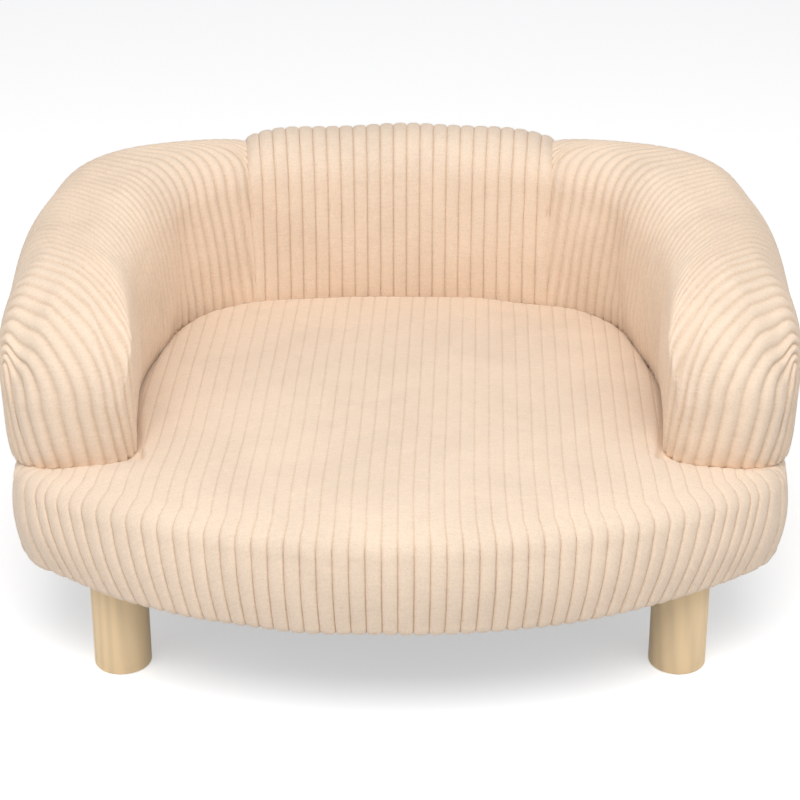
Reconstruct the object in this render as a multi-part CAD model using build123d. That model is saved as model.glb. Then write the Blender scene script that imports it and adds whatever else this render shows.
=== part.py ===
"""A low, round-backed pet armchair in corduroy plush, on four screw-in pine legs.

Millimetres, +Z up, the seat open towards -Y. The origin is on the floor, under the middle of
the chair's bounding box. Names with left and right are as seen from the front.
"""

import os
from math import asin, ceil, cos, degrees, radians, sin, sqrt

from build123d import *

# Overall size
chair_width = 600.0
chair_depth = 500.0
chair_height = 300.0

# Base, seen from above: arcs for the front, the sides and the back, with rounded corners. Each
# arc's bow is how far it falls away over half the chair's width or depth.
wall_overhang = 7.0  # the backrest and arms stand this far out past the base
front_bow = 115.0
side_bow = 44.0
back_bow = 76.5
front_corner_radius = 60.0
back_corner_radius = 95.0
side_widest_setback = 220.0  # from the front of the chair

# Legs and what screws them on
leg_diameter = 43.0
leg_height = 80.5
leg_ease = 2.0
leg_side_setback = 90.0
front_leg_setback = 102.0
rear_leg_setback = 102.0
leg_bolt_diameter = 8.0
leg_bolt_in_leg = 28.0
leg_bolt_above_leg = 22.0
leg_bolt_ease = 1.2
leg_washer_diameter = 30.0
leg_washer_thickness = 1.6
leg_nut_flange_diameter = 22.0
leg_nut_flange_thickness = 1.6
leg_nut_barrel_diameter = 10.0
leg_nut_barrel_length = 9.0

# Base board, seat and the cloth under it
board_thickness = 12.0
board_inset = 12.0
seat_crown_height = 168.5
seat_dome_radius = 3900.0
seat_edge_radius = 20.0
base_edge_radius = 10.0
cover_thickness = 3.0
hem_thickness = 1.5
hem_width = 24.0
dust_cover_thickness = 0.8
dust_cover_inset = 14.0

# Staples through dust cover and hem into the board
staple_inset = 18.5
staple_crown = 10.0
staple_leg = 8.0
staple_wire = 1.0
staple_pitch = 50.0

# Backrest and arms: one padded wall in three pads, with a seam on each side of the back
arm_thickness = 97.0
back_wall_thickness = 81.5
inner_side_bow = 88.0
inner_back_bow = 30.0
inner_corner_radius = 86.0
inner_widest_setback = 230.0
arm_setback = 119.0
arm_front_bow_radius = 2000.0
arm_corner_radius = 26.0
arm_crest_drop = 6.0  # the arms and corners are this much lower than the middle of the back
crest_radius = 38.0
foot_draw = 6.0
foot_rise = 34.0
front_roll_height = 92.0
front_roll_depth = 110.0
seam_past_corner = 28.5  # outward from the middle of the inner corner's arc
seam_lean = 8.0  # degrees that each seam turns outward towards the back
seam_bow_radius = 2000.0
seam_corner_radius = 8.0
seam_roll_height = 14.0
seam_roll_depth = 28.0
seam_gap = 0.4
lining_thickness = 1.0

# Frame inside the wall
rail_inset = 16.0
rail_width = 46.0
rail_thickness = 12.0
rail_front_setback = 155.0
core_inset = 34.0
core_thickness = 5.0
core_top_drop = 32.0  # foam left above the core panels
core_seam_gap = 8.0
front_board_thickness = 9.0
front_board_width = 44.0
front_board_top_drop = 52.0
front_board_ease = 12.0
block_depth = 17.0
block_length = 40.0
block_height = 22.0
screw_diameter = 3.5
screw_length = 18.0
screw_head_diameter = 7.0
screw_head_height = 2.0

# Bolts that hold the backrest to the base
wall_bolt_diameter = 6.0
wall_bolt_ease = 0.8
wall_bolt_head_diameter = 12.0
wall_bolt_head_height = 3.5
wall_bolt_socket = 4.0
wall_bolt_socket_depth = 2.0
wall_bolt_proud = 2.5  # thread that stands out above its tee nut
wall_bolt_inset = 51.0
wall_washer_diameter = 18.0
wall_washer_thickness = 1.6
wall_nut_flange_diameter = 19.0
wall_nut_flange_thickness = 1.5
wall_nut_barrel_diameter = 8.0
wall_nut_barrel_length = 9.0

# Clearances
fit_gap = 0.3  # between cloth, foam and frame
thread_gap = 0.05
bolt_hole_gap = 0.5
overrun = 5.0  # how far a cut runs past what it cuts
least_rounding = 2.0  # corners of an outline stay at least this round when it is drawn in

# Where things stand along the base. On its sides these are shares of the way from each side's
# widest place to the back, and in the backrest shares of the way from the middle to a seam.
staple_side_share = 0.32
staple_end_share = 0.58  # of half the chair's width
block_side_shares = (0.036, 0.25)
block_back_shares = (-0.23, 0.23)
wall_bolt_side_shares = (-0.107, 0.393)
wall_bolt_back_shares = (-0.69, 0.69)

# How the sections through a pad are spread up its side, and round its crest in degrees
side_shares = (0.0, 0.08, 0.2, 0.4, 0.65, 0.87)
crest_angles = (0.0, 18.0, 36.0, 54.0, 72.0, 90.0)

# Heights that follow from the stack, from the floor up
washer_top = leg_height + leg_washer_thickness
board_bottom = washer_top + dust_cover_thickness
board_top = board_bottom + board_thickness
hem_bottom = board_bottom - hem_thickness
dust_cover_bottom = hem_bottom - dust_cover_thickness
arm_crest = chair_height - arm_crest_drop

# Lines that follow from the plan
half_width = chair_width / 2
half_depth = chair_depth / 2
base_half = half_width - wall_overhang
base_back = half_depth - wall_overhang
wall_inner_half = half_width - arm_thickness
wall_inner_back = half_depth - back_wall_thickness
arm_front = arm_setback - half_depth
arm_middle = half_width - arm_thickness / 2
leg_across = half_width - leg_side_setback
leg_places = {
    "front_left": (-leg_across, front_leg_setback - half_depth),
    "front_right": (leg_across, front_leg_setback - half_depth),
    "rear_left": (-leg_across, half_depth - rear_leg_setback),
    "rear_right": (leg_across, half_depth - rear_leg_setback),
}


def bow_radius(half_span, bow):
    """Radius of the arc that falls away by bow over half its span."""
    return (half_span**2 + bow**2) / (2 * bow)


class Side:
    """One arc of an outline. A hollow one has the outline's material outside its circle."""

    def __init__(self, centre, radius, hollow=False):
        self.centre = Vector(*centre)
        self.radius = radius
        self.hollow = hollow

    def drawn_in(self, amount):
        """The same arc, moved into the material."""
        return Side(self.centre, self.reach(amount), self.hollow)

    def reach(self, amount):
        """Distance from the centre to a point that lies that far inside the material."""
        return self.radius + amount if self.hollow else self.radius - amount

    def foot(self, point):
        """The place on this arc that is nearest to the point."""
        return self.centre + (point - self.centre).normalized() * self.radius


def rounding_centre(first, second, rounding, near):
    """Centre of the circle that rounds the corner of two sides, the one by the near point."""
    across = second.centre - first.centre
    apart = across.length
    far_first = first.reach(rounding)
    far_second = second.reach(rounding)
    along = (apart**2 + far_first**2 - far_second**2) / (2 * apart)
    aside = sqrt(max(far_first**2 - along**2, 0))
    middle = first.centre + across.normalized() * along
    turn = Vector(-across.Y, across.X, 0).normalized() * aside
    return min((middle + turn, middle - turn), key=lambda spot: (spot - near).length)


def arc(centre, start, end):
    """Arc of under half a circle."""
    middle = centre + (start + end - centre * 2).normalized() * (start - centre).length
    return ThreePointArc(start, middle, end)


def outline(sides, corners):
    """Flat face within a ring of sides. Each corner is the rounding after a side and its rough
    place, or None where the side already runs smoothly into the next, larger one."""
    count = len(sides)
    joins = []
    for index, corner in enumerate(corners):
        side = sides[index]
        following = sides[(index + 1) % count]
        if corner is None:
            shared = side.centre + (side.centre - following.centre).normalized() * side.radius
            joins.append((shared, None, shared))
            continue
        rounding, place = corner
        centre = rounding_centre(side, following, rounding, Vector(*place))
        joins.append((side.foot(centre), centre, following.foot(centre)))
    edges = []
    for index, side in enumerate(sides):
        leaves, centre, enters = joins[index]
        edges.append(arc(side.centre, joins[index - 1][2], leaves))
        if centre is not None:
            edges.append(arc(centre, leaves, enters))
    return Face(Wire(edges))


# The base's four sides, in the order front, right, back, left
front_radius = bow_radius(base_half, front_bow)
side_radius = bow_radius(half_depth, side_bow)
back_radius = bow_radius(base_half, back_bow)
side_widest_y = side_widest_setback - half_depth
behind_widest = half_depth - side_widest_y
front_side = Side((0, front_radius - half_depth), front_radius)
right_side = Side((base_half - side_radius, side_widest_y), side_radius)
back_side = Side((0, base_back - back_radius), back_radius)
left_side = Side((side_radius - base_half, side_widest_y), side_radius)


def base_outline(inset, height=0):
    """The base seen from above, drawn in all round, at a height."""
    sides = [side.drawn_in(inset) for side in (front_side, right_side, back_side, left_side)]
    front_rounding = max(front_corner_radius - inset, least_rounding)
    back_rounding = max(back_corner_radius - inset, least_rounding)
    corners = [
        (front_rounding, (base_half, -half_depth)),
        (back_rounding, (base_half, base_back)),
        (back_rounding, (-base_half, base_back)),
        (front_rounding, (-base_half, -half_depth)),
    ]
    return Pos(0, 0, height) * outline(sides, corners)


def slab(inset, bottom, top):
    """A flat piece with the base's outline."""
    return extrude(base_outline(inset, bottom), amount=top - bottom)


def dome_height(from_middle):
    """Height of the seat's crowned top at a distance from its middle."""
    return seat_crown_height - seat_dome_radius + sqrt(seat_dome_radius**2 - from_middle**2)


def dome(lift):
    """The great ball whose top is the seat's crown, lifted or sunk all over."""
    ball = Rotation(90, 0, 0) * Sphere(seat_dome_radius + lift)
    return Pos(0, 0, seat_crown_height - seat_dome_radius) * ball


def row(side, inset, heading, runs):
    """Places along a side of the base, turned so that their X points out of it. Each run is a
    distance from the heading, anticlockwise, and the heading is in degrees."""
    reach = side.radius - inset
    turns = [heading + degrees(asin(run / reach)) for run in runs]
    middle = Pos(side.centre.X, side.centre.Y)
    return [middle * Rotation(0, 0, turn) * Pos(reach, 0) for turn in turns]


def wall_rows(inset, side_shares, back_shares):
    """Places along both sides and the back, alike on the left and the right."""
    side_runs = [behind_widest * share for share in side_shares]
    right = row(right_side, inset, 0, side_runs)
    left = row(left_side, inset, 180, [-run for run in side_runs])
    back_runs = [seam_from_middle * share for share in back_shares]
    return right + left + row(back_side, inset, 90, back_runs)


def rod(place, diameter, bottom, top):
    """Upright round rod or hole at a place in plan."""
    radius = diameter / 2
    centred = (Align.CENTER, Align.CENTER, Align.MIN)
    return place * Pos(0, 0, bottom) * Cylinder(radius, top - bottom, align=centred)


def group(pieces):
    """Separate solids in one node."""
    return Compound(children=[solid for piece in pieces for solid in piece.solids()])


# Seat


def seat_form(skin, bottom, bottom_rounding):
    """The seat's outer shape, or a layer inside it: crowned, with a soft edge all round."""
    form = slab(skin, bottom, chair_height) & dome(-skin)
    crown = form.faces().filter_by(GeomType.SPHERE)[0]
    form = fillet(crown.edges(), seat_edge_radius - skin)
    return fillet(form.faces().sort_by(Axis.Z)[0].edges(), bottom_rounding)


def wall_bolt_places():
    """Where the bolts between base and backrest stand, in plan."""
    return wall_rows(wall_bolt_inset, wall_bolt_side_shares, wall_bolt_back_shares)


def wall_bolt_holes(bottom, top):
    """Running holes for those bolts."""
    diameter = wall_bolt_diameter + 2 * bolt_hole_gap
    return [rod(place, diameter, bottom, top) for place in wall_bolt_places()]


def leg_spots():
    """Where the legs stand, in plan."""
    return [Pos(*place) for place in leg_places.values()]


def staples():
    """Wire staples round the hem, crown below and points up."""
    width = staple_crown + 2 * staple_wire
    low = dust_cover_bottom - staple_wire
    end_run = half_width * staple_end_share
    side_run = behind_widest * staple_side_share
    rows = [
        (front_side, -90, end_run),
        (right_side, 0, side_run),
        (back_side, 90, end_run),
        (left_side, 180, side_run),
    ]
    upright = (Align.CENTER, Align.CENTER, Align.MIN)
    crown = Box(staple_wire, width, staple_wire, align=upright)
    point = Box(staple_wire, staple_wire, staple_wire + staple_leg, align=upright)
    aside = (width - staple_wire) / 2
    wire = crown + Pos(0, aside) * point + Pos(0, -aside) * point
    placed = []
    for side, heading, run in rows:
        steps = ceil(2 * run / staple_pitch)
        runs = [run * (2 * step / steps - 1) for step in range(steps + 1)]
        placed += [
            place * Pos(0, 0, low) * wire for place in row(side, staple_inset, heading, runs)
        ]
    return placed


def base_board():
    """Plywood base, bored for the legs' tee nuts and counterbored for the backrest's bolts."""
    board = slab(board_inset, board_bottom, board_top)
    low = board_bottom - overrun
    high = board_top + overrun
    board -= [rod(spot, leg_nut_barrel_diameter, low, high) for spot in leg_spots()]
    board -= wall_bolt_holes(low, high)
    sunk = wall_washer_diameter + 2 * bolt_hole_gap
    board -= [rod(place, sunk, low, wall_washer_top) for place in wall_bolt_places()]
    return board - staples()


def seat_foam():
    """Foam block glued on the board and lapped over its edge."""
    skin = cover_thickness + fit_gap
    bottom = board_bottom + fit_gap
    foam = seat_form(skin, bottom, base_edge_radius - cover_thickness)
    foam -= slab(board_inset - fit_gap, bottom - overrun, board_top + fit_gap)
    pocket = leg_nut_flange_diameter + 2 * bolt_hole_gap
    pocket_top = leg_height + leg_bolt_above_leg + bolt_hole_gap
    foam -= [rod(spot, pocket, board_bottom, pocket_top) for spot in leg_spots()]
    return foam - wall_bolt_holes(board_bottom, chair_height)


def seat_cover():
    """Corduroy cover over the seat and down its sides, with its hem turned under the board."""
    cover = seat_form(0, hem_bottom, base_edge_radius)
    cover -= seat_form(cover_thickness, board_bottom, base_edge_radius - cover_thickness)
    cover -= slab(hem_width, hem_bottom - overrun, board_bottom + overrun)
    return cover - wall_bolt_holes(board_top, chair_height) - staples()


def dust_cover():
    """Black cloth below the board: its rim laps the hem, its middle is drawn up to the board."""
    inside = hem_width + fit_gap
    rim_top = dust_cover_bottom + dust_cover_thickness
    rim = slab(dust_cover_inset, dust_cover_bottom, rim_top)
    rise = slab(inside, dust_cover_bottom, board_bottom)
    hollow = slab(inside + dust_cover_thickness, dust_cover_bottom - overrun, washer_top)
    cloth = rim + rise - hollow
    hole = leg_bolt_diameter + 2 * bolt_hole_gap
    cloth -= [rod(spot, hole, dust_cover_bottom, board_bottom + overrun) for spot in leg_spots()]
    return cloth - staples()


# Legs


def leg(spot):
    """Turned pine dowel with its edges eased, bored for the hanger bolt."""
    dowel = rod(spot, leg_diameter, 0, leg_height)
    dowel = fillet(dowel.edges().filter_by(GeomType.CIRCLE), leg_ease)
    return dowel - rod(spot, leg_bolt_diameter, leg_height - leg_bolt_in_leg, leg_height + overrun)


def leg_bolt(spot):
    """Hanger bolt: wood screw in the leg, machine thread above it."""
    tip = leg_height + leg_bolt_above_leg
    bolt = rod(spot, leg_bolt_diameter, leg_height - leg_bolt_in_leg, tip)
    return chamfer(bolt.edges().filter_by(GeomType.CIRCLE), leg_bolt_ease)


def leg_washer(spot):
    """Washer between leg and base."""
    hole = leg_bolt_diameter + 2 * thread_gap
    washer = rod(spot, leg_washer_diameter, leg_height, washer_top)
    return washer - rod(spot, hole, leg_height - overrun, washer_top + overrun)


def leg_tee_nut(spot):
    """Tee nut pressed into the board from above."""
    flange_top = board_top + leg_nut_flange_thickness
    nut = rod(spot, leg_nut_flange_diameter, board_top, flange_top)
    nut += rod(spot, leg_nut_barrel_diameter, board_top - leg_nut_barrel_length, board_top)
    hole = leg_bolt_diameter + 2 * thread_gap
    return nut - rod(spot, hole, board_bottom, flange_top + overrun)


# Backrest and arms: the right arm is made and mirrored


def roll(height, start, end, depth):
    """How far a face has curved in at a height, on a quarter ellipse that runs from start to
    end and is as deep as depth there."""
    share = min(max((height - start) / (end - start), 0), 1)
    return depth * (1 - sqrt(1 - share**2))


def mirrored(side):
    """The same arc on the chair's left."""
    return Side((-side.centre.X, side.centre.Y), side.radius, side.hollow)


wall_foot = dome_height(base_half) - seat_edge_radius / 2
foot_top = wall_foot + foot_rise

# The right arm pad's sides, in the order inside, front, outside, back, seam, inside corner
inner_side_radius = bow_radius(half_depth, inner_side_bow)
inner_back_radius = bow_radius(wall_inner_half, inner_back_bow)
arm_inside = Side(
    (wall_inner_half - inner_side_radius, inner_widest_setback - half_depth),
    inner_side_radius,
    hollow=True,
)
arm_face = Side((arm_middle, arm_front + arm_front_bow_radius), arm_front_bow_radius)
wall_outside = right_side.drawn_in(-wall_overhang)
wall_back = back_side.drawn_in(-wall_overhang)
wall_inside_back = Side((0, wall_inner_back - inner_back_radius), inner_back_radius, hollow=True)
inside_corner_centre = rounding_centre(
    Side(arm_inside.centre, inner_side_radius),
    Side(wall_inside_back.centre, inner_back_radius),
    inner_corner_radius,
    Vector(wall_inner_half / 2, wall_inner_back / 2),
)
inside_corner = Side(inside_corner_centre, inner_corner_radius, hollow=True)
seam_from_middle = inside_corner_centre.X + seam_past_corner
seam_middle = Vector(seam_from_middle, half_depth - back_wall_thickness / 2, 0)
seam_normal = Vector(cos(radians(seam_lean)), -sin(radians(seam_lean)), 0)


def seam_side(outward):
    """End of a pad at the right seam: outward is 1 for the centre pad, -1 for the arm."""
    centre = seam_middle - seam_normal * outward * (seam_bow_radius + seam_gap / 2)
    return Side(centre, seam_bow_radius)


def side_draw(height, crest, skin):
    """How far the long faces of a pad, or of a layer inside it, are drawn in at a height."""
    crest_roll = roll(height, crest - crest_radius, crest - skin, crest_radius - skin)
    return skin + crest_roll + roll(height, foot_top, wall_foot, foot_draw)


def seam_draw(height, crest, skin):
    """How far a pad's end is drawn in from its seam at a height."""
    return skin + roll(height, crest - seam_roll_height, crest - skin, seam_roll_depth)


def arm_outline(height, skin):
    """Section through the right arm pad."""
    draw = side_draw(height, arm_crest, skin)
    seam = seam_draw(height, arm_crest, skin)
    front_start = arm_crest - front_roll_height
    front = skin + roll(height, foot_top, wall_foot, foot_draw)
    front += roll(height, front_start, arm_crest - skin, front_roll_depth - skin)
    arm_rounding = (arm_corner_radius - skin) * (1 - 2 * draw / arm_thickness)
    seam_rounding = seam_corner_radius * (1 - 2 * draw / back_wall_thickness)
    sides = [
        arm_inside.drawn_in(draw),
        arm_face.drawn_in(front),
        wall_outside.drawn_in(draw),
        wall_back.drawn_in(draw),
        seam_side(-1).drawn_in(seam),
        inside_corner.drawn_in(draw),
    ]
    corners = [
        (arm_rounding, (wall_inner_half, arm_front + front)),
        (arm_rounding, (half_width, arm_front + front)),
        (back_corner_radius + wall_overhang - draw, (base_half, base_back)),
        (seam_rounding, (seam_from_middle, half_depth)),
        (seam_rounding, (seam_from_middle, wall_inner_back)),
        None,
    ]
    return Pos(0, 0, height) * outline(sides, corners)


def centre_outline(height, skin):
    """Section through the centre pad."""
    draw = side_draw(height, chair_height, skin)
    seam = seam_draw(height, chair_height, skin)
    rounding = seam_corner_radius * (1 - 2 * draw / back_wall_thickness)
    end = seam_side(1).drawn_in(seam)
    sides = [wall_inside_back.drawn_in(draw), end, wall_back.drawn_in(draw), mirrored(end)]
    corners = [
        (rounding, (seam_from_middle, wall_inner_back)),
        (rounding, (seam_from_middle, half_depth)),
        (rounding, (-seam_from_middle, half_depth)),
        (rounding, (-seam_from_middle, wall_inner_back)),
    ]
    return Pos(0, 0, height) * outline(sides, corners)


def pad(section, crest, skin):
    """A whole pad, or a layer inside it, through its sections from the foot to the crest."""
    shoulder = crest - crest_radius
    heights = [wall_foot + share * (shoulder - wall_foot) for share in side_shares]
    heights += [shoulder + (crest_radius - skin) * sin(radians(turn)) for turn in crest_angles]
    return loft([section(height, skin) for height in heights])


def pad_cover(section, crest):
    """Corduroy cover of a pad, open where it stands on the seat, with room for the rail."""
    cover = pad(section, crest, 0) - pad(section, crest, cover_thickness)
    return cover - dome(fit_gap) - rail(fit_gap)


def pad_foam(section, crest):
    """Foam of a pad, slotted from below over the frame."""
    foam = pad(section, crest, cover_thickness + fit_gap)
    return foam - dome(2 * fit_gap + lining_thickness) - frame_room()


def pad_lining(section, crest):
    """Cloth that closes a pad below."""
    sheet = pad(section, crest, cover_thickness + fit_gap) & dome(fit_gap + lining_thickness)
    return sheet - dome(fit_gap) - wall_bolt_holes(board_top, chair_height)


# Frame inside the wall

rail_bottom = dome_height(base_back - rail_inset - rail_width) + 3 * fit_gap + lining_thickness
rail_top = rail_bottom + rail_thickness
rail_front = rail_front_setback - half_depth
core_top = arm_crest - core_top_drop
wall_washer_top = board_bottom + wall_bolt_head_height + wall_washer_thickness
front_board_back = rail_front + front_board_thickness


def wall_strip(inset, width, bottom, top, front):
    """A strip that follows the wall round the back, from the arms' front ends."""
    strip = slab(inset, bottom, top) - slab(inset + width, bottom - overrun, top + overrun)
    ahead = Pos(0, front, bottom - overrun) * Box(
        chair_width,
        chair_depth,
        chair_height,
        align=(Align.CENTER, Align.MAX, Align.MIN),
    )
    return strip - ahead


def rail(gap=0):
    """U of plywood at the foot of the wall, or with a gap the room for it, open below."""
    bottom = wall_foot if gap else rail_bottom
    width = rail_width + 2 * gap
    return wall_strip(rail_inset - gap, width, bottom, rail_top + gap, rail_front - gap)


def core(gap=0):
    """Bent hardboard that stands on the rail, or the room for it in the foam."""
    front = front_board_back + fit_gap - gap
    return wall_strip(core_inset - gap, core_thickness + 2 * gap, rail_top, core_top + gap, front)


def seam_slot():
    """The gap between two core panels, at the right seam."""
    slot = Box(core_seam_gap, back_wall_thickness, chair_height)
    return Pos(seam_middle.X, seam_middle.Y, rail_top) * Rotation(0, 0, -seam_lean) * slot


def core_panels():
    """The core, cut at the seams: left, centre and right panel."""
    slot = seam_slot()
    panels = core() - slot - mirror(slot, about=Plane.YZ) - screw_holes()
    return panels.solids().sort_by(Axis.X)


def front_board(gap=0):
    """Board that shapes the front of the right arm, or the room for it in the foam."""
    height = arm_crest - front_board_top_drop - rail_top
    face = Rectangle(front_board_width + 2 * gap, height + gap, align=(Align.CENTER, Align.MIN))
    face = fillet(face.vertices().group_by(Axis.Y)[-1], front_board_ease)
    board = extrude(Plane.XZ * face, amount=front_board_thickness / 2 + gap, both=True)
    middle = rail_front + front_board_thickness / 2
    across = right_side.centre.X + sqrt(
        (right_side.radius - rail_inset - rail_width / 2) ** 2
        - (middle - side_widest_y) ** 2
    )
    return Pos(across, middle, rail_top) * board


def block_places():
    """Where the glue blocks brace the core panels, two on each panel."""
    return wall_rows(core_inset + core_thickness, block_side_shares, block_back_shares)


def glue_blocks(gap=0):
    """Wooden blocks between core panel and rail, or the room for them in the foam."""
    block = Box(
        block_depth + gap,
        block_length + 2 * gap,
        block_height + gap,
        align=(Align.MAX, Align.CENTER, Align.MIN),
    )
    return [place * Pos(-fit_gap, 0, rail_top) * block for place in block_places()]


def along_screws(piece, start):
    """Copies of a piece at every panel screw: its Z points out of the wall, and it starts at a
    distance from the core panel's inner face."""
    height = rail_top + block_height / 2
    turned = Rotation(0, 90, 0) * piece
    return [place * Pos(start, 0, height) * turned for place in block_places()]


def screws():
    """Screws from outside through the core panels into the blocks."""
    centred = (Align.CENTER, Align.CENTER, Align.MIN)
    shank = Cylinder(screw_diameter / 2, screw_length, align=centred)
    head = Cylinder(screw_head_diameter / 2, screw_head_height, align=centred)
    return along_screws(shank + Pos(0, 0, screw_length) * head, core_thickness - screw_length)


def screw_holes():
    """Bores for the screws."""
    centred = (Align.CENTER, Align.CENTER, Align.MIN)
    bore = Cylinder(screw_diameter / 2, screw_length, align=centred)
    return along_screws(bore, core_thickness - screw_length)


def screw_room():
    """Room in the foam for the screw heads."""
    centred = (Align.CENTER, Align.CENTER, Align.MIN)
    depth = core_thickness + screw_head_height + fit_gap
    return along_screws(Cylinder(screw_head_diameter / 2 + fit_gap, depth, align=centred), 0)


def frame_room():
    """All the room that the frame takes in the foam, open below."""
    board = front_board(fit_gap)
    bolt_top = rail_top + wall_nut_flange_thickness + wall_bolt_proud
    flange = wall_nut_flange_diameter + 2 * fit_gap
    nuts = [rod(place, flange, rail_top, bolt_top + fit_gap) for place in wall_bolt_places()]
    room = [rail(fit_gap), core(fit_gap), board, mirror(board, about=Plane.YZ)]
    return room + glue_blocks(fit_gap) + screw_room() + nuts


def wall_bolt(place):
    """Bolt up from the base board into the rail, with a socket in its round head."""
    head_bottom = board_bottom
    head_top = head_bottom + wall_bolt_head_height
    tip = rail_top + wall_nut_flange_thickness + wall_bolt_proud
    shank = chamfer(
        rod(place, wall_bolt_diameter, head_top, tip).edges().group_by(Axis.Z)[-1], wall_bolt_ease
    )
    head = rod(place, wall_bolt_head_diameter, head_bottom, head_top)
    socket = place * Pos(0, 0, head_bottom) * extrude(
        RegularPolygon(wall_bolt_socket / 2, 6, major_radius=False), amount=wall_bolt_socket_depth
    )
    return shank + head - socket


def wall_washer(place):
    """Washer under a bolt's head, in its counterbore."""
    bottom = board_bottom + wall_bolt_head_height
    washer = rod(place, wall_washer_diameter, bottom, wall_washer_top)
    hole = wall_bolt_diameter + 2 * thread_gap
    return washer - rod(place, hole, bottom - overrun, wall_washer_top + overrun)


def wall_tee_nut(place):
    """Tee nut pressed into the rail from above."""
    flange_top = rail_top + wall_nut_flange_thickness
    nut = rod(place, wall_nut_flange_diameter, rail_top, flange_top)
    nut += rod(place, wall_nut_barrel_diameter, rail_top - wall_nut_barrel_length, rail_top)
    hole = wall_bolt_diameter + 2 * thread_gap
    return nut - rod(place, hole, rail_bottom - overrun, flange_top + overrun)


def drilled_rail():
    """The rail, bored for its tee nuts and bolts."""
    board = rail() - wall_bolt_holes(rail_bottom - overrun, rail_top + overrun)
    return board - [
        rod(place, wall_nut_barrel_diameter, rail_top - wall_nut_barrel_length, rail_top + overrun)
        for place in wall_bolt_places()
    ]


# All the pieces, one node each

left_core, centre_core, right_core = core_panels()
arm_cover = pad_cover(arm_outline, arm_crest)
arm_foam = pad_foam(arm_outline, arm_crest)
arm_lining = pad_lining(arm_outline, arm_crest)
arm_board = front_board()

pieces = {
    "base_board": base_board(),
    "seat_foam": seat_foam(),
    "seat_cover": seat_cover(),
    "dust_cover": dust_cover(),
    "staples": group(staples()),
    "leg_tee_nuts": group(leg_tee_nut(spot) for spot in leg_spots()),
    "backrest_rail": drilled_rail(),
    "left_core_panel": left_core,
    "centre_core_panel": centre_core,
    "right_core_panel": right_core,
    "left_arm_front_board": mirror(arm_board, about=Plane.YZ),
    "right_arm_front_board": arm_board,
    "glue_blocks": group(block - screw_holes() for block in glue_blocks()),
    "panel_screws": group(screws()),
    "centre_back_foam": pad_foam(centre_outline, chair_height),
    "left_arm_foam": mirror(arm_foam, about=Plane.YZ),
    "right_arm_foam": arm_foam,
    "centre_back_cover": pad_cover(centre_outline, chair_height),
    "left_arm_cover": mirror(arm_cover, about=Plane.YZ),
    "right_arm_cover": arm_cover,
    "centre_back_lining": pad_lining(centre_outline, chair_height),
    "left_arm_lining": mirror(arm_lining, about=Plane.YZ),
    "right_arm_lining": arm_lining,
    "backrest_bolts": group(wall_bolt(place) for place in wall_bolt_places()),
    "backrest_washers": group(wall_washer(place) for place in wall_bolt_places()),
    "backrest_tee_nuts": group(wall_tee_nut(place) for place in wall_bolt_places()),
}
for corner, place in leg_places.items():
    spot = Pos(*place)
    pieces[f"leg_{corner}"] = leg(spot)
    pieces[f"hanger_bolt_{corner}"] = leg_bolt(spot)
    pieces[f"leg_washer_{corner}"] = leg_washer(spot)

os.makedirs("parts", exist_ok=True)
for name, piece in pieces.items():
    export_step(piece, f"parts/{name}.step")
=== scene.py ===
"""Looks of the pet armchair: wide-wale corduroy pads on a D-shaped base with four pine legs.

Metres, +Z up, the seat open towards -Y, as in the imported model. Plan sizes below are written in
millimetres and turned to metres once, by MM.
"""

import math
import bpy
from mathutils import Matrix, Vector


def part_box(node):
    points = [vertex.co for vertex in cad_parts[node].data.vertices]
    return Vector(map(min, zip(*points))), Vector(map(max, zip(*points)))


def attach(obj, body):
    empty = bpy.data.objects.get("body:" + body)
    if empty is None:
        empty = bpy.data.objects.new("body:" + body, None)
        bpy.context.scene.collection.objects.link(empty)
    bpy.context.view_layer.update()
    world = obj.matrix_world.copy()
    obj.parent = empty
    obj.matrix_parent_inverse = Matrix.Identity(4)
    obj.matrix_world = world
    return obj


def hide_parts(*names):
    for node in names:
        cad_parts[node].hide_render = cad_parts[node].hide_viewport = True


bl_info = {
    "name": "Pet armchair looks",
    "version": (1, 0, 0),
    "blender": (4, 5, 0),
    "location": "3D View > Sidebar > Pet chair",
    "description": "Upholstery, legs, fastenings and studio for the pet armchair",
    "category": "Object",
}

import bmesh
import bpy
import numpy as np
from mathutils import Vector

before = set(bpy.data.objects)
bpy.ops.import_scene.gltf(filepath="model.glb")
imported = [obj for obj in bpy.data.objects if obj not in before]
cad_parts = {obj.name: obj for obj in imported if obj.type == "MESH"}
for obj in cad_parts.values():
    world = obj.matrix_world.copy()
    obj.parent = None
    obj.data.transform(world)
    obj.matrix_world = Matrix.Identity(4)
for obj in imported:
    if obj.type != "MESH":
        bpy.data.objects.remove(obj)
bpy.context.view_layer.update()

MM = 0.001
CHAIR = "chair"
CORNERS = ("front_left", "front_right", "rear_left", "rear_right")

# Plan lines


def meeting(first, first_reach, second, second_reach, near):
    """The point where two circles cross, the one by the near point."""
    across = second - first
    apart = np.linalg.norm(across)
    along = (apart**2 + first_reach**2 - second_reach**2) / (2 * apart)
    aside = math.sqrt(max(first_reach**2 - along**2, 0))
    middle = first + across / apart * along
    turn = np.array([-across[1], across[0]]) / apart * aside
    return min((middle + turn, middle - turn), key=lambda spot: np.linalg.norm(spot - near))


def on_circle(centre, radius, toward):
    """The point of a circle that is nearest to another point."""
    way = toward - centre
    return centre + way / np.linalg.norm(way) * radius


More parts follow.
